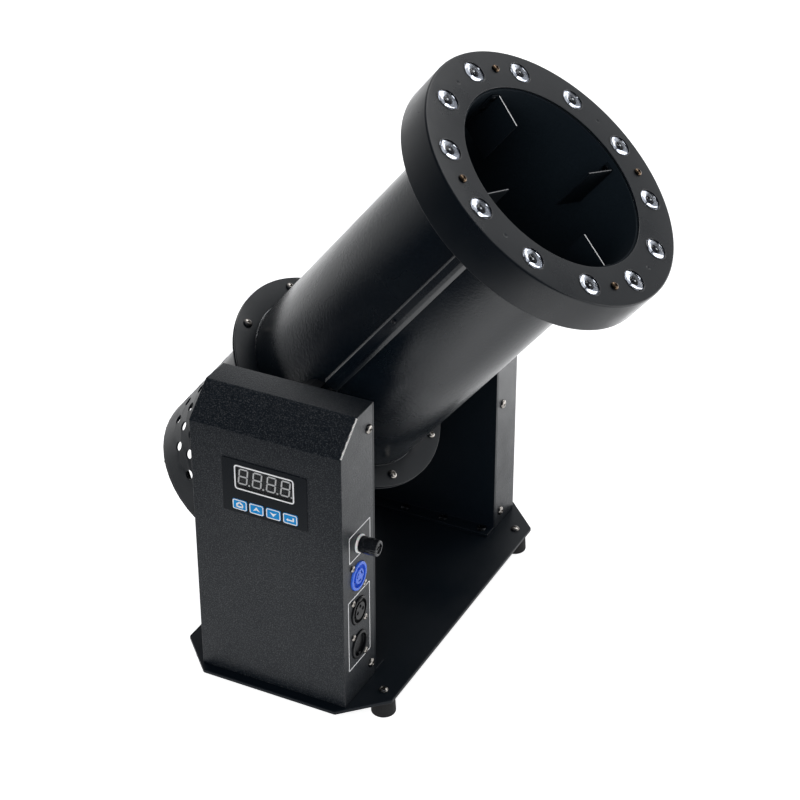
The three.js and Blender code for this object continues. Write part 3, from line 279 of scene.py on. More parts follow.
def surface(name, colour, roughness, grain=1100, relief=0.2, depth=0.00015, vary=0.35, patches=16, wear_and_highlight=None,
            edge=0.0006, streaks=None, spread=0.08, specks=None, **sockets):
    """A finish: grain in relief, patches in tone and gloss, lighter edges that are partly wear and partly a painted
    highlight, specks and drawn streaks where it has them
    """
    material = bpy.data.materials.new(name)
    material.use_nodes = True
    tree = material.node_tree
    shader = tree.nodes["Principled BSDF"]
    for key, value in sockets.items():
        shader.inputs[key.replace("_", " ")].default_value = value
    where = node(tree, "TexCoord").outputs["Object"]
    drawn = node(tree, "Mapping", {"Vector": where, "Scale": streaks}).outputs[0] if streaks else where
    fine = node(tree, "TexNoise", {"Vector": drawn, "Scale": grain, "Detail": 3.0, "Roughness": 0.6}).outputs[0]
    broad = node(tree, "TexNoise", {"Vector": where, "Scale": patches, "Detail": 5.0, "Roughness": 0.6}).outputs[0]
    light = rgba(*[min(1, c * (1 + vary)) for c in colour])
    dark = rgba(*[c * (1 - vary * 0.6) for c in colour])
    tone = mix(tree, level(tree, fine, 0, 1, 0.3, 0.7), dark, light)
    tone = mix(tree, level(tree, broad, 0, 0.5), tone, rgba(*colour))
    if specks:
        spots = node(tree, "TexNoise", {"Vector": where, "Scale": grain * 1.6, "Detail": 1.0}).outputs[0]
        tone = mix(tree, level(tree, spots, 0, 1, 0.54, 0.64), tone, rgba(*specks))
    gloss = level(tree, broad, roughness - spread, roughness + spread)
    bump = node(tree, "Bump", {"Strength": relief, "Distance": depth, "Height": fine})
    # Edges mixed toward the edge colour: partly real wear, partly a painted highlight along the edges
    if wear_and_highlight:
        soft = node(tree, "Bevel", {"Radius": edge}, samples=4).outputs[0]
        flat = node(tree, "NewGeometry").outputs["Normal"]
        facing = node(tree, "VectorMath", {0: soft, 1: flat}, operation="DOT_PRODUCT").outputs["Value"]
        at_edge, by_grain = level(tree, facing, 1, 0, 0.86, 0.985), level(tree, fine, 0.25, 1, 0.4, 0.6)
        rubbed_or_lit = node(tree, "Math", {0: at_edge, 1: by_grain}, operation="MULTIPLY").outputs[0]
        tone = mix(tree, rubbed_or_lit, tone, rgba(*wear_and_highlight))
        tree.links.new(soft, bump.inputs["Normal"])
    tree.links.new(tone, shader.inputs["Base Color"])
    tree.links.new(gloss, shader.inputs["Roughness"])
    tree.links.new(bump.outputs[0], shader.inputs["Normal"])
    return material


# Each finish's edge colour is partly wear and partly a painted highlight along its edges
POWDER = surface("powder_coat", (0.0034, 0.0057, 0.0088), 0.35, grain=800, relief=0.7, depth=0.0004, vary=0.8,
                 wear_and_highlight=(0.09, 0.09, 0.092), specks=(0.05, 0.053, 0.057), Specular_IOR_Level=0.37)
DARK_SHEET = surface("dark_sheet", (0.0036, 0.006, 0.0092), 0.38, grain=1250, relief=0.3, depth=0.0002, vary=0.5,
                     wear_and_highlight=(0.05, 0.05, 0.055), Specular_IOR_Level=0.22)
# Near-white colour for the weld seam's beads: a painted highlight along the edge
SEAM_HIGHLIGHT = surface("seam_painted_highlight", (0.88, 0.86, 0.82), 0.5, grain=900, relief=0.4, vary=0.3, patches=900)
NICKEL = surface("nickel", (0.34, 0.318, 0.294), 0.16, grain=1500, relief=0.05, vary=0.2, spread=0.1, Metallic=1.0)
ZINC = surface("zinc_steel", (0.42, 0.43, 0.44), 0.34, grain=700, relief=0.1, vary=0.25, patches=60, spread=0.12,
               Metallic=1.0)
BRASS = surface("brass", (0.13, 0.088, 0.056), 0.12, grain=900, relief=0.08, vary=0.5, patches=240, Metallic=1.0)
DARK_RIVET = surface("dark_rivet", (0.05, 0.052, 0.056), 0.35, grain=700, relief=0.1, vary=0.4, Metallic=1.0)
RUBBER = surface("rubber", (0.012, 0.012, 0.0125), 0.78, grain=900, relief=0.35, depth=0.0003, vary=0.5,
                 wear_and_highlight=(0.03, 0.03, 0.03), Specular_IOR_Level=0.35)
BLACK_PLASTIC = surface("black_plastic", (0.006, 0.007, 0.009), 0.24, grain=1600, relief=0.1, vary=0.3,
                        wear_and_highlight=(0.05, 0.05, 0.052), edge=0.0003)
NYLON = surface("nylon", (0.86, 0.86, 0.84), 0.42, grain=600, relief=0.1, vary=0.08, wear_and_highlight=(0.8, 0.8, 0.78),
                Subsurface_Weight=0.15, Subsurface_Scale=0.002)

# Screws


def screw_head(radius, dome, sides=28):
    """A button head with a cross recess, standing on z = 0"""
    shares = [(0, 0), (0.94, 0), (1, 0.12), (0.99, 0.3), (0.93, 0.52), (0.8, 0.74), (0.6, 0.9), (0.35, 0.98), (0, 1)]
    head = turned([(radius * r, dome * z) for r, z in shares], sides)
    wide, long, deep = 0.15 * radius, 0.6 * radius, 0.45 * dome
    top = [(-long, -wide), (long, -wide), (long, wide), (-long, wide)]
    floor = [(x * 0.45, y * 0.7, deep) for x, y in top]
    bar = floor + [(x * 1.05, y * 1.1, dome * 1.1) for x, y in top], prism(top, 0, 1)[1]
    return carve(head, [moved(bar, spin(turn)) for turn in (0, pi / 2)])


BIG_HEAD = screw_head(3.9, 2.2)
RING_HEAD = screw_head(3.2, 1.9)
SMALL_HEAD = screw_head(2.7, 1.6)
TINY_HEAD = screw_head(1.7, 0.9, 20)
RIVET = turned([(0, 0), (2.8, 0), (2.6, 0.45), (1.8, 0.8), (0, 0.9)], 24)


def heads(shape, places):
    """Copies of a screw head, each at a place and turned as it happened to be tightened"""
    return merged(*[moved(shape, place, spin(0.35 + 2.4 * i)) for i, place in enumerate(places)])


# Stand: heights, half the arms' width, the two webs' faces and the front of the box
DECK = 20
TOP = 267.977
HALF = 64
NEAR_FACE = -106.2
FAR_FACE = 115.6
BOX_FRONT = -157.7
SLOPE_RISE, SLOPE_RUN = 22.1, 26.4
SHEET = 1.2


def base_plate():
    a, b, cut = 92, 166, 33
    outline = [(a, cut - b), (a, b - cut), (a - cut, b), (cut - a, b), (-a, b - cut), (-a, cut - b), (cut - a, -b),
               (a - cut, -b)]
    piece("base_sheet", prism(rounded(outline, 3), 17, DECK), DARK_SHEET, "stand",
          stands_for=["base_plate"], bevel=0.5)
    flange_top = 22.7
    places = [shift(x, y, flange_top) for y in (-99.6, 109.0) for x in (-55.5, -18.5, 18.5, 55.5)]
    piece("arm_foot_screws", heads(BIG_HEAD, places), DARK_RIVET, "stand")


def feet():
    names = ["foot_rear_near", "foot_front_near", "foot_front_far", "foot_rear_far"]
    places = [(-80.2, -125), (80.2, -125), (80.2, 125), (-80.2, 125)]
    profile = rounded([(0, 0), (10, 0), (9, 16.9), (0, 16.9)], [0, 1.4, 0.6, 0], 5, ring=False)
    foot = turned(profile, 64)
    for name, (x, y) in zip(names, places):
        piece(name.replace("foot", "rubber_foot"), moved(foot, shift(x, y)), RUBBER, "stand",
              stands_for=[name])
    places = [shift(x, y, DECK + 0.1) for x, y in places]
    piece("foot_screws", heads(BIG_HEAD, places), NICKEL, "stand")


def arm(name, side, face, bore):
    """The arm's bent sheet: web, foot flange and the edges that its cover is screwed to"""
    def at(depth):
        return face + side * depth
    brow = TOP - 1.3
    outline = [(at(-13), 20.1), (at(2.5), 20.1), (at(2.5), brow), (at(0), brow), (at(0), 22.6), (at(-13), 22.6)]
    web = side_prism(rounded(outline, [0.3, 3.2, 0.3, 0.3, 0.8, 0.3], 5), -HALF, HALF)
    hole = moved(turned([(0, -6), (bore, -6), (bore, 6), (0, 6)], 48), shift(0, face, PIVOT_Z), TO_FAR)
    web = carve(web, [hole])
    reach = 14.1 if side < 0 else 18.5
    low, high = sorted((at(2.3), at(reach)))
    edges = [block(s - 1.25, s + 1.25, low, high, 20.1, 260.6) for s in (-61.45, 61.45)]
    low, high = sorted((at(2.3), at(13.1)))
    edges.append(block(-62.7, 62.7, low, high, brow - 2.5, brow))
    piece(name + "_sheet", merged(web, *edges), DARK_SHEET, "stand", stands_for=[name], bevel=0.35)


def cover_outline(depth, wall, start, bottom):
    """A cover's section with its sloped upper edge, drawn in by the thickness of a wall"""
    slant = hypot(SLOPE_RISE, SLOPE_RUN)
    nx, ny = SLOPE_RISE / slant, SLOPE_RUN / slant
    height = TOP - DECK
    reach = nx * depth + ny * (height - SLOPE_RISE) - wall
    front, top = depth - wall, height - wall
    return [(start, bottom), (front, bottom), (front, (reach - nx * front) / ny), ((reach - ny * top) / nx, top),
            (start, top)]


def cover(side, face, depth, cuts=()):
    def placed(points):
        return [(face + side * d, DECK + z) for d, z in points]
    height = TOP - DECK
    outline = cover_outline(depth, 0, 2.6, 0.1)[:-1] + [(0, height), (0, height - SHEET), (2.6, height - SHEET)]
    outer = side_prism(placed(rounded(outline, [0, 0, 1.5, 1.5, 0.4, 0, 0], 4)), -HALF, HALF)
    inner = side_prism(placed(cover_outline(depth, SHEET, -1.4, -4)), SHEET - HALF, HALF - SHEET)
    return carve(outer, [inner, *cuts])


def side_hole(radius, y, z):
    return moved(turned([(0, -4), (radius, -4), (radius, 4), (0, 4)], 64), shift(HALF, y, z), TO_X)


# Places on the box: the three sockets, the fuse, the keys and the window
SIDE_Y = -133.7
SIDE_ZS = [129.6, 97.5, 65.4]
FUSE_Y, FUSE_Z = -131.8, 158.3
KEY_XS = [-22.675, -8.225, 6.225, 20.675]
KEY_Z = 182.5
WINDOW_X, WINDOW_Z = -1, 206.9


def covers():
    cuts = [side_hole(12, SIDE_Y, z) for z in SIDE_ZS] + [side_hole(5.5, FUSE_Y, FUSE_Z)]
    low, high = BOX_FRONT - 4, BOX_FRONT + 5
    cuts.append(block(WINDOW_X - 25.65, WINDOW_X + 25.65, low, high, WINDOW_Z - 10.85, WINDOW_Z + 10.85))
    cuts += [block(x - 6.45, x + 6.45, low, high, KEY_Z - 4.75, KEY_Z + 4.75) for x in KEY_XS]
    piece("control_box_shell", cover(-1, NEAR_FACE, 51.5, cuts), POWDER, "stand",
          stands_for=["control_box_cover"], bevel=0.55, segments=3)
    piece("far_arm_shell", cover(1, FAR_FACE, 40.6), POWDER, "stand", stands_for=["far_arm_cover"],
          bevel=0.55, segments=3)
    seat = HALF + 0.1
    rows = [(-115.2, z) for z in (34.8, 249.5)] + [(127.8, z) for z in (32.9, 141, 249.5)]
    places = [shift(seat, y, z) @ TO_X for y, z in rows] + [shift(-seat, y, z) @ TO_LEFT for y, z in rows]
    piece("cover_screws", heads(BIG_HEAD, places), NICKEL, "stand")


def slope_seam():
    """The rough seam where the sloped face was welded to the side; its near-white beads are a painted highlight along
    that edge
    """
    low = shift(HALF, BOX_FRONT, TOP - SLOPE_RISE) @ Matrix.Rotation(atan2(SLOPE_RISE, SLOPE_RUN), 4, "X")
    beads = []
    for i in range(30):
        along = 1 + i * 1.1
        width, length = 1.0 + 0.2 * sin(5.3 * i), 0.42 + 0.08 * sin(3.1 * i + 1)
        bead = rounded([(-width, -length), (0.12, -length), (0.12, length), (-width, length)], 0.2, 2)
        beads.append(moved(prism(bead, -0.4, 0.2 + 0.05 * sin(7 * i)), low, shift(0, along)))
    piece("slope_seam", merged(*beads), SEAM_HIGHLIGHT, "stand")


base_plate()
feet()
arm("near_arm", -1, NEAR_FACE, 9.3)
arm("far_arm", 1, FAR_FACE, 5.3)
covers()
slope_seam()

# Barrel: its shapes are about its own axis, in distances from the tilt pivot
TUBE, RING, LIP, FLANGE, DRUM = 79.5, 112.5, 79.0, 98.4, 77.8
FRONT, RING_BACK = 241.8, 211.0
DRUM_FRONT, DRUM_BACK = -42.4, -186.5
LAMP_CIRCLE = 95.5
LAMPS = [radians(19.2 + 30 * i) for i in range(12)]
QUARTERS = [i * pi / 2 for i in range(4)]


def at(radius, angle, height):
    return shift(radius * cos(angle), radius * sin(angle), height) @ spin(angle)


def launch_tube():
    profile = rounded([(TUBE - 2, -39.7), (TUBE, -39.7), (TUBE, 240), (TUBE - 2, 240)], 0.4, 3)
    wall = piece("tube_wall", turned(profile, 144, ring=True), TUBE_PAINT, "barrel", BARREL,
                 stands_for=["launch_tube"])
    wall.data.materials.append(BORE_PAINT)
    inward = BARREL.inverted()
    for face in wall.data.polygons:
        middle = inward @ face.center
        if hypot(middle.x, middle.y) < TUBE - 0.3:
            face.material_index = 1
    place = shift(-3.6, -85.4, 110.7) @ TO_NEAR
    piece("channel_screw", moved(TINY_HEAD, place, spin(0.4)), BLACK_PLASTIC, "barrel", BARREL)


def cable_channel():
    """The crown is narrow, with a steep side above it and a long curved slope below"""
    middle = -1.6

    def arch(half, crown):
        return [(half, 79.75), (half, crown - 2.6), (half - 2.9, crown - 0.78), (half - 5.8, crown),
                (1.8 - half, crown), (-half, crown - 3), (-half, 79.6)]
    outer = rounded(arch(6.5, 84.8), [0, 0.5, 3.2, 0.5, 0.7, 0.7, 0], 4)
    inner = arch(5.5, 83.8)[::-1]
    strip = prism([(middle + x, -y) for x, y in outer + inner], 22, 210.7)
    piece("channel_strip", strip, CHANNEL_PAINT, "barrel", BARREL, stands_for=["cable_channel"])


def flanges():
    disc = rounded([(79.9, -39.7), (FLANGE, -39.7), (FLANGE, -38.2), (79.9, -38.2)], 0.4, 3)
    piece("flange_disc", turned(disc, 144, ring=True), FLANGE_PAINT, "barrel", BARREL,
          stands_for=["tube_flange"])
    seats = [at(89.25, radians(22.5 + 45 * i), -37.9) for i in range(8)]
    piece("flange_screws", heads(BIG_HEAD, seats), NICKEL, "barrel", BARREL)


def drum_skin():
    """The perforated skin, laid out as cells of 20 degrees by 10 mm with half a cell's shift from row to row"""
    inner, outer, front, back = DRUM - 1.5, DRUM, DRUM_FRONT, DRUM_BACK
    vent, cell, half_row, points = 4, radians(20), 5, 24
    corners, faces, known = [], [], {}

    def corner(angle, height):
        key = (round(angle % tau, 5) % round(tau, 5), round(height, 4))
        if key not in known:
            known[key] = len(corners)
            corners.append((outer * cos(angle), outer * sin(angle), height))
        return known[key]

    step, first = cell / 8, radians(8)
    for row in range(7):
        middle = back + 22.5 + 2 * half_row * row
        for i in range(18):
            centre = first + cell * i + (cell / 2 if row % 2 else 0)
            turns = [tau * k / points for k in range(points)]
            hole = [(centre + vent * cos(turn) / outer, middle + vent * sin(turn)) for turn in turns]
            left, right, low, high = centre - cell / 2, centre + cell / 2, middle - half_row, middle + half_row
            rim = [(right, middle + half_row * t) for t in (0, 0.5)]
            rim += [(right - step * j, high) for j in range(9)]
            rim += [(left, middle + half_row * t) for t in (0.5, 0, -0.5)]
            rim += [(left + step * j, low) for j in range(9)]
            rim += [(right, middle - half_row / 2)]
            ring = [corner(*p) for p in hole]
            edge = [corner(*p) for p in rim]
            after = [(k + 1) % points for k in range(points)]
            faces += [[edge[k], edge[j], ring[j], ring[k]] for k, j in enumerate(after)]
    bands = [(back + 1.5, back + 17.5, 3), (back + 87.5, front, 6)]
    for start, end, count in bands:
        for k in range(count):
            z0, z1 = (start + (end - start) * t / count for t in (k, k + 1))
            for j in range(144):
                a0, a1 = first + step * (j - 4), first + step * (j - 3)
                faces.append([corner(a0, z0), corner(a1, z0), corner(a1, z1), corner(a0, z1)])
    n = len(corners)
    spots = [(x * inner / outer, y * inner / outer, z) for x, y, z in corners]
    edges = dict.fromkeys(pair for face in faces for pair in zip(face, face[1:] + face[:1]))
    rims = [[b, a, a + n, b + n] for a, b in edges if (b, a) not in edges]
    return corners + spots, faces + [[i + n for i in face[::-1]] for face in faces] + rims


def drum():
    inner, front = DRUM - 1.5, DRUM_FRONT + 1.5
    flange = rounded([(inner, DRUM_FRONT), (FLANGE, DRUM_FRONT), (FLANGE, front), (inner, front)], 0.4, 3)
    inner, front = 71.5, DRUM_BACK + 1.5
    lip = rounded([(inner, DRUM_BACK), (DRUM, DRUM_BACK), (DRUM, front), (inner, front)], [0.3, 1.3, 0, 0.3], 4)
    flange, lip = turned(flange, 144, ring=True), turned(lip, 144, ring=True)
    piece("drum_shell", merged(drum_skin(), flange, lip), FLANGE_PAINT, "barrel", BARREL,
          stands_for=["fan_drum"])
    seats = [at(74.65, radians(48) + q, -188.6) @ DOWN for q in QUARTERS]
    piece("guard_screws", heads(SMALL_HEAD, seats), NICKEL, "barrel", BARREL)


def fins():
    """Four bent blades, each at its own bearing and riveted in; the cut front edges are bare, lighter and wider on two
    blades as a painted highlight and darker on the other two as painted shade
    """
    back, front, inner, outer = 196.3, 236.3, 47.8, 76.8
    for i, (degrees, width, lit_or_shaded_edge) in enumerate(FIN_EDGES):
        turn = spin(radians(degrees))
        sheet = merged(block(inner, outer, 0, 1.5, back, front), block(outer - 1.5, outer, 0, 8, back, front))
        piece(f"fin_sheet_{i + 1}", moved(sheet, turn), FIN_PAINT, "barrel", BARREL,
              stands_for=[f"fin_{i + 1}"], bevel=0.2)
        # The bare cut edge strip: its lighter or darker copy of one colour is painted light and shade
        edge = block(inner + 0.4, outer - 1.6, 0.75 - width / 2, 0.75 + width / 2, front - 0.2, front + 0.06)
        piece(f"fin_edge_{i + 1}", moved(edge, turn), lit_or_shaded_edge, "barrel", BARREL, bevel=0.05)
        spots = (front - 4, front - 16)
        studs = [moved(RIVET, turn, shift(outer - 1.6, 4.75, s), TO_LEFT) for s in spots]
        heads_outside = [moved(RIVET, turn, shift(79.4, 4.75, s), TO_X) for s in spots]
        piece(f"fin_rivets_{i + 1}", merged(*studs, *heads_outside), DARK_RIVET, "barrel", BARREL)


def ring():
    inner = RING - 1.5
    profile = rounded([(LIP, FRONT - 1.5), (LIP, FRONT), (RING, FRONT), (RING, RING_BACK), (inner, RING_BACK),
                       (inner, FRONT - 1.5)], [0.2, 0.35, 1.6, 0.5, 0.5, 0.6], 5)
    shell = turned(profile, 192, ring=True)
    hole = turned([(0, FRONT - 6), (9.6, FRONT - 6), (9.6, FRONT + 6), (0, FRONT + 6)], 40)
    holes = merged(*[moved(hole, at(LAMP_CIRCLE, a, 0)) for a in LAMPS])
    dimple = turned([(0, FRONT - 0.35), (1.5, FRONT - 0.2), (2.3, FRONT + 0.3), (0, FRONT + 0.3)], 20)
    dimples = merged(*[moved(dimple, at(LAMP_CIRCLE, radians(4.2) + q, 0)) for q in QUARTERS])
    piece("ring_shell", carve(shell, [holes, dimples]), RING_PAINT, "barrel", BARREL,
          stands_for=["lamp_ring_cover"], smooth=28)
    for i, turn in enumerate(QUARTERS):
        head = moved(RING_HEAD, at(LAMP_CIRCLE, radians(64.2) + turn, 242.1), spin(0.5 + 1.7 * i))
        piece(f"brass_head_{i + 1}", head, BRASS, "barrel", BARREL, stands_for=[f"ring_screw_{i + 1}"])


def lens_bowl():
    """The bright bowl behind a lens: part of a sphere, with seven soft lobes toward its rim"""
    middle, curve, edge, lobes, swell = 248.1, 11.6, 8.85, 7, 0.13
    profile = [(r, middle - (curve ** 2 - r ** 2) ** 0.5) for r in (0.2, 1.2, 2.2, 3.4, 4.6, 5.8, 7.0, 8.0, edge)]
    corners, faces = turned(profile + [(r, z - 0.5) for r, z in profile[::-1]], 84, ring=True)
    return [(x, y, z + swell * cos(lobes * atan2(y, x)) * (hypot(x, y) / edge) ** 2) for x, y, z in corners], faces


def lenses():
    """Each lamp is a thin clear dome in a dark rim, with its emitter in front of a bright bowl and a white die set off
    the emitter's centre as a painted glint
    """
    arc = [(0, 243.0), (1.8, 242.92), (3.6, 242.7), (5.4, 242.3), (7.2, 241.75), (8.6, 241.2), (9.2, 240.9)]
    clear = turned(arc + [(9.2, 240.6), (8.9, 240.6)] + [(r * 0.955, z - 0.6) for r, z in arc[-2::-1]], 48)
    rim = turned(rounded([(9.6, 241.3), (9.6, 242.1), (9.0, 242.1), (8.75, 241.4)], 0.2, 3), 48, ring=True)
    eye = turned([(0, 241.8), (1.6, 241.75), (3.0, 241.5), (4.0, 241.1), (3.7, 240.9), (0.4, 240.6), (0.3, 236.2),
                  (0, 236.2)], 32)
    # A white die off the emitter's centre: a painted glint, not a lit chip
    glint_shape = moved(turned([(0, 242.1), (0.5, 242.05), (0.75, 241.9), (0.75, 241.5), (0, 241.5)], 20), shift(0.6, 0, 0))
    parts = [("lens_faces", clear, LENS, ["lens_plate"]), ("lens_bowls", lens_bowl(), REFLECTOR, []),
             ("lens_rims", rim, BLACK_PLASTIC, []), ("emitters", eye, EMITTER, []), ("emitter_glint_dies", glint_shape, GLINT_FINISH, [])]
    for name, shape, material, nodes in parts:
        twelve = merged(*[moved(shape, at(LAMP_CIRCLE, a, 0)) for a in LAMPS])
        piece(name, twelve, material, "barrel", BARREL, stands_for=nodes, smooth=50)


TUBE_PAINT = surface("tube_paint", (0.0028, 0.005, 0.0078), 0.25, grain=420, relief=0.34, depth=0.0004, vary=0.35,
                     spread=0.05, wear_and_highlight=(0.02, 0.02, 0.024), Specular_IOR_Level=0.5)
BORE_PAINT = surface("bore_paint", (0.0078, 0.0118, 0.016), 0.65, grain=700, relief=0.2, vary=0.3,
                     Specular_IOR_Level=0.1)
FIN_PAINT = surface("fin_paint", (0.0048, 0.0072, 0.0098), 0.6, grain=700, relief=0.2, vary=0.3,
                    Specular_IOR_Level=0.12)
CHANNEL_PAINT = surface("channel_paint", (0.0028, 0.005, 0.0078), 0.24, grain=500, relief=0.3, depth=0.0003, vary=0.35,
                        spread=0.05, wear_and_highlight=(0.1, 0.1, 0.108), edge=0.0005, Specular_IOR_Level=0.85)
RING_PAINT = surface("ring_paint", (0.003, 0.0048, 0.0072), 0.32, grain=1300, relief=0.12, depth=0.0002, vary=0.3,
                     wear_and_highlight=(0.11, 0.11, 0.118), edge=0.0007, Specular_IOR_Level=0.36)
FLANGE_PAINT = surface("flange_paint", (0.003, 0.005, 0.0076), 0.36, grain=900, relief=0.25, depth=0.0003, vary=0.5,
                       wear_and_highlight=(0.03, 0.03, 0.034), Specular_IOR_Level=0.33)
LIT_CUT_EDGE = surface("lit_cut_edge", (0.62, 0.62, 0.62), 0.42, grain=900, relief=0.2, vary=0.35, patches=90)
SHADED_CUT_EDGE = surface("shaded_cut_edge", (0.2, 0.2, 0.205), 0.45, grain=900, relief=0.2, vary=0.35, patches=90)
LENS = surface("clear_lens", (0.94, 0.96, 0.99), 0.03, grain=300, relief=0.02, vary=0.03, spread=0.015,
               Transmission_Weight=1.0, IOR=1.2)
REFLECTOR = surface("lens_reflector", (0.72, 0.73, 0.78), 0.08, grain=260, relief=0.03, depth=0.0003, vary=0.2,
                    spread=0.05, Metallic=1.0)
EMITTER = surface("emitter", (0.003, 0.004, 0.008), 0.55, grain=700, relief=0.1, vary=0.5, Specular_IOR_Level=0.03)
# Near-white colour for the die that stands in for the emitter's glint: painted highlight
GLINT_FINISH = surface("painted_glint_white", (0.93, 0.93, 0.91), 0.2, grain=1800, relief=0.05, vary=0.08, Specular_IOR_Level=0.8)
# Each fin's bearing, the width of its bare edge, and its edge colour: a lit copy with a painted highlight on two fins,
# a shaded copy on the other two
FIN_EDGES = [(68.7, 0.55, SHADED_CUT_EDGE), (156.8, 0.95, LIT_CUT_EDGE), (251.1, 0.55, SHADED_CUT_EDGE), (340.7, 0.95, LIT_CUT_EDGE)]

launch_tube()
cable_channel()
flanges()
drum()
fins()
ring()
lenses()

# Control panel
FILM = surface("panel_film", (0.003, 0.005, 0.0076), 0.2, grain=2200, relief=0.06, depth=0.0001, vary=0.25,
               patches=30, wear_and_highlight=(0.03, 0.03, 0.034), edge=0.0003, Specular_IOR_Level=0.2)
SMOKED = surface("smoked_window", (0.006, 0.007, 0.009), 0.1, grain=500, relief=0.03, vary=0.15, Alpha=0.12,
                 Coat_Weight=0.5, Coat_Roughness=0.05)
DISPLAY = surface("display_face", (0.008, 0.0085, 0.0095), 0.5, grain=1500, relief=0.1, vary=0.3,
                  wear_and_highlight=(0.02, 0.02, 0.02))
SEGMENT = surface("display_segment", (0.85, 0.86, 0.87), 0.5, grain=2600, relief=0.1, vary=0.35, patches=500)
KEY_BLUE = surface("key_blue", (0.004, 0.25, 0.62), 0.34, grain=2400, relief=0.1, depth=0.0001, vary=0.16, patches=90,
                   wear_and_highlight=(0.03, 0.3, 0.66), edge=0.0003, Specular_IOR_Level=0.2)
PRINT = surface("white_print", (0.88, 0.89, 0.9), 0.55, grain=3200, relief=0.2, depth=0.00005, vary=0.18, patches=260)
INK = 0.04


def on_panel(shape, x, z, out=0.0):
    return moved(shape, shift(x, BOX_FRONT - out, z), TO_NEAR)


def frame_strip(width, height, radius, line, low):
    return ribbon(rectangle(width - line, height - line, radius, 5), line, low, low + INK, ring=True)


def panel():
    film = moved(prism(rectangle(72.5, 47, 1.2), 0.1, 0.6), shift(-1, BOX_FRONT, 198.5), TO_NEAR)
    holes = [moved(prism(rectangle(51.3, 21.7, 1.6), -3, 3), shift(WINDOW_X, BOX_FRONT, WINDOW_Z), TO_NEAR)]
    holes += [moved(prism(rectangle(12.9, 9.5, 1.6), -3, 3), shift(x, BOX_FRONT, KEY_Z), TO_NEAR) for x in KEY_XS]
    piece("film_sheet", carve(film, [merged(*holes)]), FILM, "stand", stands_for=["panel_film"],
          bevel=0.12)
    glass = prism(rectangle(51.1, 21.5, 1.5), -1.1, 0.6)
    piece("window_glass", on_panel(glass, WINDOW_X, WINDOW_Z), SMOKED, "stand",
          stands_for=["display_window"], bevel=0.15)
    strip = on_panel(frame_strip(50.9, 21.3, 2.2, 1.15, 0.6), WINDOW_X, WINDOW_Z)
    piece("window_frame_print", strip, PRINT, "stand")


def digit():
    """An unlit seven-segment digit with its point, leaning as such displays do"""
    w, h, t, gap = 3.5, 6.4, 1.15, 0.2
    ends = [((-w, h), (w, h)), ((w, h), (w, 0)), ((w, 0), (w, -h)), ((-w, -h), (w, -h)), ((-w, 0), (-w, -h)),
            ((-w, h), (-w, 0)), ((-w, 0), (w, 0))]
    bars = []
    for a, b in ends:
        a, b = Vector(a), Vector(b)
        way = (b - a).normalized()
        side = Vector((-way.y, way.x)) * t / 2
        a, b = a + way * gap, b - way * gap
        tip = way * t / 2
        outline = [a, a + tip + side, b - tip + side, b, b - tip - side, a + tip - side]
        bars.append(prism([(p.x + 0.12 * p.y, p.y) for p in outline], 0, 0.12))
    point = prism([(w + 1.55 + 0.8 * cos(tau * k / 16), -h + 0.8 * sin(tau * k / 16)) for k in range(16)], 0, 0.12)
    return merged(*bars, point)


def display():
    base = prism(rectangle(50.3, 20.7, 0.8), -9.3, -1.3)
    piece("display_block", on_panel(base, WINDOW_X, WINDOW_Z), DISPLAY, "stand",
          stands_for=["display_module"], bevel=0.3)
    digits = merged(*[on_panel(digit(), WINDOW_X - 0.9 + (i - 1.5) * 12.05, WINDOW_Z, -1.3) for i in range(4)])
    piece("display_digits", digits, SEGMENT, "stand")


def key_marks():
    """Generic signs: a house, two arrow heads and a return arrow"""
    walls = rounded([(-2.3, -1.8), (2.3, -1.8), (2.3, 0.4), (0, 2.1), (-2.3, 0.4)], 0.2, 3)
    house = ribbon(walls, 1.35, 0, INK, ring=True)
    up = prism([(-3, -1.6), (0, 2.1), (3, -1.6), (0, -0.5)], 0, INK)
    down = prism([(-3, 1.6), (0, 0.5), (3, 1.6), (0, -2.1)][::-1], 0, INK)
    arrow = [(-3.5, -0.9), (-1.8, 0.5), (-1.8, -0.3), (2.0, -0.3), (2.0, 1.7), (3.3, 1.7), (3.3, -1.5), (-1.8, -1.5),
             (-1.8, -2.3)]
    enter = prism(arrow[::-1], 0, INK)
    return [house, up, down, enter]


def keys():
    cap = prism(rectangle(12.4, 9, 1.5, 5), -1.2, 0.9)
    stem = turned([(0, -5.55), (1.8, -5.55), (1.8, -1.5), (0, -1.5)], 24)
    foot = merged(prism(rectangle(14, 10.6, 1), -2.5, -1.5), stem)
    for name, x, mark in zip(["menu", "up", "down", "enter"], KEY_XS, key_marks()):
        body = name + "_key"
        piece(name + "_cap", on_panel(merged(cap, foot), x, KEY_Z), KEY_BLUE, body, stands_for=[body],
              bevel=0.28, segments=3)
        marks = merged(frame_strip(12.0, 8.6, 1.5, 0.75, 0.9), moved(mark, shift(0, 0, 0.9)))
        piece(name + "_mark", on_panel(marks, x, KEY_Z), PRINT, body)


# Side of the control box
BLUE = surface("inlet_blue", (0.035, 0.13, 0.68), 0.28, grain=1600, relief=0.1, vary=0.2, patches=120,
               wear_and_highlight=(0.12, 0.28, 0.85), edge=0.0004)
SOCKET = surface("socket_plastic", (0.004, 0.0046, 0.0055), 0.26, grain=1600, relief=0.1, vary=0.3,
                 wear_and_highlight=(0.035, 0.036, 0.038), edge=0.0003, Specular_IOR_Level=0.26)
PIN = surface("contact_pin", (0.75, 0.72, 0.66), 0.2, grain=900, relief=0.06, vary=0.2, patches=300, Metallic=1.0)


def on_side(shape, z, y=SIDE_Y):
    return moved(shape, shift(HALF, y, z), TO_X)


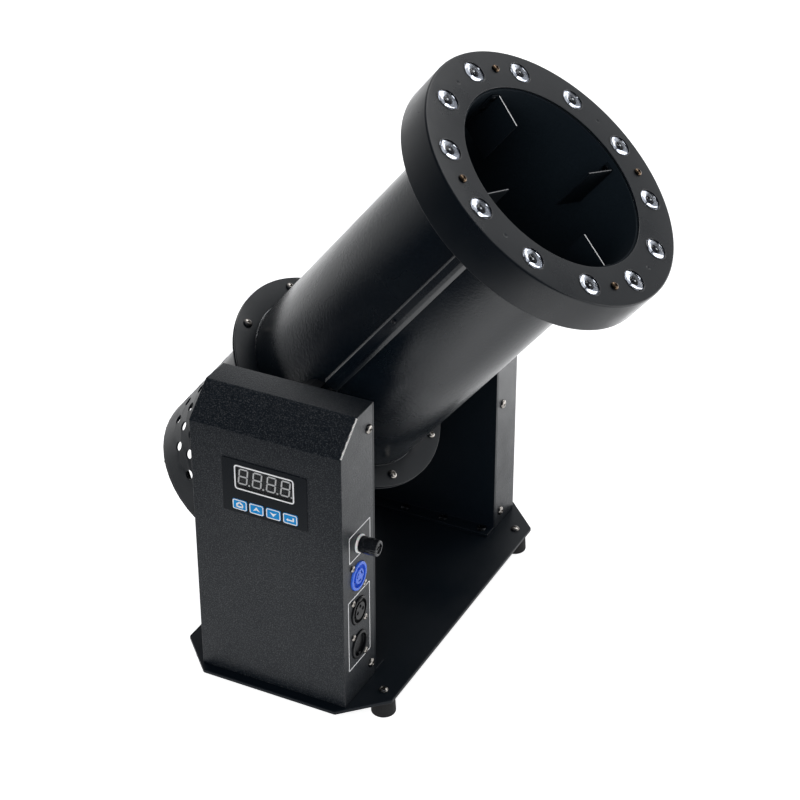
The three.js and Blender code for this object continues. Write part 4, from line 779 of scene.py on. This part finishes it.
def nose(inner):
    """A connector's nose through the wall and its tail, less what is hollow in it"""
    profile = rounded([(0, -27.3), (10.4, -27.3), (10.4, -3.3), (11.7, -3.3), (11.7, 1.4), (0, 1.4)],
                      [0, 0.8, 0, 0, 0.7, 0], 4, ring=False)
    return carve(turned(profile, 72), inner)


def connector_back():
    """The flange behind the wall and the three tabs at the tail's end"""
    flange = prism(rectangle(31, 26, 3), -3.3, -1.3)
    tabs = [moved(block(3.8, 4.6, -2.5, 2.5, -34.3, -27), spin(tau * i / 3)) for i in range(3)]
    return merged(flange, *tabs)


def groove(inner, outer, floor):
    return turned([(inner, floor), (outer, floor), (outer, 4), (inner, 4)], 64, ring=True)


def pin_places():
    """Three contacts on a circle of 8.4 mm, a quarter turn apart"""
    return [(4.2 * cos(pi / 2 * (i + 1)), 4.2 * sin(pi / 2 * (i + 1))) for i in range(3)]


def power_inlet():
    slots = [moved(block(2.8, 4.4, -2.2, 2.2, -10.6, 4), spin(tau * i / 3)) for i in range(3)]
    body = nose([groove(6.2, 9.4, -10.6), merged(*slots)])
    lugs = [moved(block(5.6, 8.4, -w, w, -9, 0.6), spin(a)) for w, a in ((1.6, 0.5), (1.1, 0.5 + pi))]
    whole = merged(body, connector_back(), *lugs)
    piece("inlet_body", on_side(whole, SIDE_ZS[0]), BLUE, "stand", stands_for=["power_inlet"],
          bevel=0.2)


def data_outlet():
    hole = turned([(0, -8.6), (1.5, -8.6), (1.5, 0.9), (1.9, 4), (0, 4)], 20)
    holes = [moved(hole, shift(x, y, 0)) for x, y in pin_places()]
    body = nose([groove(7.2, 10, -10.6), merged(*holes)])
    latch = block(-11.2, -9.6, -2.6, 2.6, -1, 2.0)
    piece("outlet_body", on_side(merged(body, connector_back(), latch), SIDE_ZS[1]), SOCKET, "stand",
          stands_for=["data_outlet"], bevel=0.2)
    contact = turned(rounded([(1.5, 1.3), (1.5, 1.5), (2.0, 1.5), (2.0, 1.3)], 0.08, 2), 20, ring=True)
    contacts = merged(*[moved(contact, shift(x, y, 0)) for x, y in pin_places()])
    # The contacts' metal is darkened: painted shade of the recessed contacts
    piece("outlet_contacts", on_side(contacts, SIDE_ZS[1]), DARK_RIVET, "stand")


def data_inlet():
    cavity = turned([(0, -11.6), (9.5, -11.6), (9.5, 4), (0, 4)], 64)
    body = nose([cavity])
    key = block(7.4, 9.7, -1.3, 1.3, -11.6, 0.4)
    piece("inlet_socket", on_side(merged(body, connector_back(), key), SIDE_ZS[2]), SOCKET, "stand",
          stands_for=["data_inlet"], bevel=0.2)
    pin = turned(rounded([(0, -16.6), (1.2, -16.6), (1.2, -1.6), (0, -1.6)], [0, 0, 0.8, 0], 4, ring=False), 24)
    pins = merged(*[moved(pin, shift(x, y, 0)) for x, y in pin_places()])
    piece("inlet_pins", on_side(pins, SIDE_ZS[2]), PIN, "stand")


def connector_screws():
    places = [shift(HALF + 0.1, SIDE_Y + y, z + up) @ TO_X for z in SIDE_ZS for y, up in ((-9.5, 12), (9.5, -12))]
    piece("connector_screws", heads(SMALL_HEAD, places), NICKEL, "stand")


def fuse():
    """The pale washer and the cap, whose rim has twenty shallow grips and whose end has a crossed slot"""
    ring = turned(rounded([(5.5, 0.1), (7.6, 0.1), (7.6, 1.9), (5.5, 1.9)], 0.5, 4), 64, ring=True)
    piece("fuse_ring", on_side(ring, FUSE_Z, FUSE_Y), NYLON, "stand", stands_for=["fuse_washer"])
    profile = [(0, 15.9), (3.9, 15.9), (4.1, 16.8), (4.4, 17), (5.4, 17), (6.1, 16.7), (6.5, 16.1), (6.5, 12.6),
               (6.6, 12.2), (6.6, 2.6), (6.45, 2.1), (5.5, 2.1), (5.5, 8), (0, 8)]
    corners, faces = turned(profile, 144)
    grips, bite = 20, 0.035
    ribbed = []
    for x, y, z in corners:
        in_rim = 12.6 <= z <= 16.8 and hypot(x, y) > 5.8
        share = 1 - bite * (0.5 - 0.5 * cos(grips * atan2(y, x))) ** 2 if in_rim else 1
        ribbed.append((x * share, y * share, z))
    slots = [block(-0.7, 0.7, -4.7, 4.7, 14.9, 19), block(-4.7, 4.7, -0.5, 0.5, 15.3, 19)]
    piece("fuse_knob", on_side(carve((ribbed, faces), slots), FUSE_Z, FUSE_Y), BLACK_PLASTIC, "fuse_cap",
          stands_for=["fuse_cap"], bevel=0.12, smooth=40)


def side_print():
    """White outlines round the sockets, open where they meet a fitting"""
    def outline(y0, y1, z0, z1):
        corners = rounded([(-z0, y0), (-z1, y0), (-z1, y1), (-z0, y1)], 0.8, 3)
        return ribbon(corners, 0.75, 0, INK, ring=True)
    lines = merged(outline(-147.3, -114.2, 148.2, 171), outline(-150.3, -116, 50, 113.6))
    piece("side_outlines", moved(lines, shift(HALF + 0.01, 0, 0), TO_X), PRINT, "stand")


panel()
display()
keys()
power_inlet()
data_outlet()
data_inlet()
connector_screws()
fuse()
side_print()

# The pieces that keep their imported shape
BOARD = surface("circuit_board", (0.012, 0.075, 0.035), 0.4, grain=350, relief=0.3, vary=0.7, patches=160,
                wear_and_highlight=(0.25, 0.22, 0.08))
LAMP_BOARD = surface("lamp_board_white", (0.72, 0.73, 0.72), 0.4, grain=400, relief=0.2, vary=0.1, patches=150,
                     wear_and_highlight=(0.5, 0.42, 0.2))
ALUMINIUM = surface("aluminium", (0.58, 0.59, 0.6), 0.36, grain=260, relief=0.12, vary=0.2, patches=40, spread=0.1,
                    streaks=(1, 1, 9), wear_and_highlight=(0.75, 0.75, 0.76), Metallic=1.0)
FAN_PLASTIC = surface("fan_plastic", (0.045, 0.046, 0.05), 0.42, grain=900, relief=0.15, vary=0.35,
                      wear_and_highlight=(0.11, 0.11, 0.115))
FUSE_GLASS = surface("fuse_glass", (0.8, 0.82, 0.8), 0.06, grain=300, relief=0.03, vary=0.08, spread=0.02,
                     Transmission_Weight=0.8, IOR=1.5)
CABLE = surface("cable_black", (0.01, 0.01, 0.011), 0.5, grain=1200, relief=0.2, vary=0.4, wear_and_highlight=(0.03, 0.03, 0.03))
INNER_POWDER = surface("inner_powder", (0.006, 0.0065, 0.008), 0.5, grain=1200, relief=0.3, depth=0.0002, vary=0.5,
                       wear_and_highlight=(0.08, 0.08, 0.085))
FINISHES = {
    BOARD: ["control_board", "driver_board"],
    LAMP_BOARD: ["lamp_board"],
    ALUMINIUM: ["power_supply", "fan_motor"],
    FAN_PLASTIC: ["fan_impeller"],
    FUSE_GLASS: ["fuse_link"],
    CABLE: ["lamp_cable"],
    NYLON: ["near_inner_washer", "near_outer_washer", "far_inner_washer", "far_outer_washer"],
    BLACK_PLASTIC: ["fuse_holder"],
    INNER_POWDER: ["near_pivot_boss", "far_pivot_boss", "lamp_ring_back", "rear_guard"],
    ZINC: ["near_pivot_sleeve", "near_pivot_nut", "far_pivot_bolt", "confetti_screen", "motor_bracket", "motor_shaft",
           "fan_nut"],
}
for finish, names in FINISHES.items():
    for name in names:
        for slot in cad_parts[name].material_slots:
            slot.material = finish

# Studio


def studio():
    """A pale floor that fades out behind the camera, a world that is bright behind the object, and three softboxes"""
    bpy.ops.mesh.primitive_plane_add(size=30, location=(0, 0, 0))
    floor = bpy.context.object
    floor.name = "floor"
    pale = bpy.data.materials.new("floor_paper")
    pale.use_nodes = True
    tree = pale.node_tree
    paper = tree.nodes["Principled BSDF"]
    seen = node(tree, "LightPath").outputs["Is Camera Ray"]
    place = node(tree, "SeparateXYZ", {0: node(tree, "TexCoord").outputs["Object"]}).outputs
    across, along = place["X"], place["Y"]
    near = level(tree, along, 0, 1, -0.56, -0.34)
    lit = node(tree, "Math", {0: near, 1: seen}, operation="MAXIMUM").outputs[0]
    tree.links.new(mix(tree, lit, rgba(0.06, 0.06, 0.065), rgba(0.9, 0.9, 0.9)), paper.inputs["Base Color"])
    paper.inputs["Roughness"].default_value = 0.9
    paper.inputs["Emission Color"].default_value = rgba(1, 1, 1)
    patches = [(level(tree, along, 0, 1.4, 0.25, 0.5), level(tree, across, 0, 1, -0.1, 0.15)),
               (level(tree, along, 0.6, 0, -0.14, -0.02), level(tree, across, 0, 1, 0.08, 0.16))]
    glow = level(tree, along, 0.33, 0.9, 0.15, 0.5)
    for a, b in patches:
        patch = node(tree, "Math", {0: a, 1: b}, operation="MULTIPLY").outputs[0]
        glow = node(tree, "Math", {0: glow, 1: patch}, operation="ADD").outputs[0]
    glow = node(tree, "Math", {0: near, 1: glow}, operation="MULTIPLY").outputs[0]
    glow = mix(tree, seen, glow, rgba(0.8, 0.8, 0.8))
    tree.links.new(glow, paper.inputs["Emission Strength"])
    floor.data.materials.append(pale)
    world = bpy.data.worlds.new("studio")
    world.use_nodes = True
    tree = world.node_tree
    way = node(tree, "SeparateXYZ", {0: node(tree, "TexCoord").outputs["Generated"]}).outputs
    along, up = way["Y"], way["Z"]
    behind, side = level(tree, along, 0, 1, -0.25, 0.45), level(tree, along, 0, 1, -0.6, 0)
    low = node(tree, "Math", {0: level(tree, up, 1, 0, 0.14, 0.34), 1: side}, operation="MULTIPLY").outputs[0]
    pale = node(tree, "Math", {0: behind, 1: low}, operation="MAXIMUM").outputs[0]
    overhead, lifted = level(tree, up, 0, 1, 0.65, 0.85), level(tree, up, 0, 1, 0.32, 0.52)
    dark = mix(tree, overhead, rgba(0.028, 0.033, 0.043), rgba(0.12, 0.128, 0.142))
    bright = mix(tree, lifted, rgba(0.68, 0.69, 0.7), rgba(0.39, 0.4, 0.42))
    glow = mix(tree, pale, dark, bright)
    seen = node(tree, "LightPath").outputs["Is Camera Ray"]
    glow = mix(tree, seen, glow, rgba(1, 1, 1))
    tree.links.new(glow, tree.nodes["Background"].inputs["Color"])
    SCENE.world = world
    SCENE.view_settings.view_transform = "Standard"

    def softbox(name, place, target, size, power, in_gloss=True):
        data = bpy.data.lights.new(name, "AREA")
        data.shape = "RECTANGLE"
        data.size, data.size_y = size
        data.energy = power
        lamp = bpy.data.objects.new(name, data)
        lamp.visible_glossy = in_gloss
        lamp.location = place
        lamp.rotation_euler = (Vector(target) - Vector(place)).to_track_quat("-Z", "Y").to_euler()
        SCENE.collection.objects.link(lamp)

    softbox("top_softbox", (0.2, 1.5, 2.0), (0, 0, 0.1), (1.8, 1.0), 14)
    softbox("right_softbox", (1.9, 0.9, 1.0), (0, 0, 0.25), (0.8, 1.2), 4)
    softbox("front_softbox", (0.5, -2.0, 1.3), (0, 0, 0.2), (1.6, 1.6), 34, in_gloss=False)


studio()
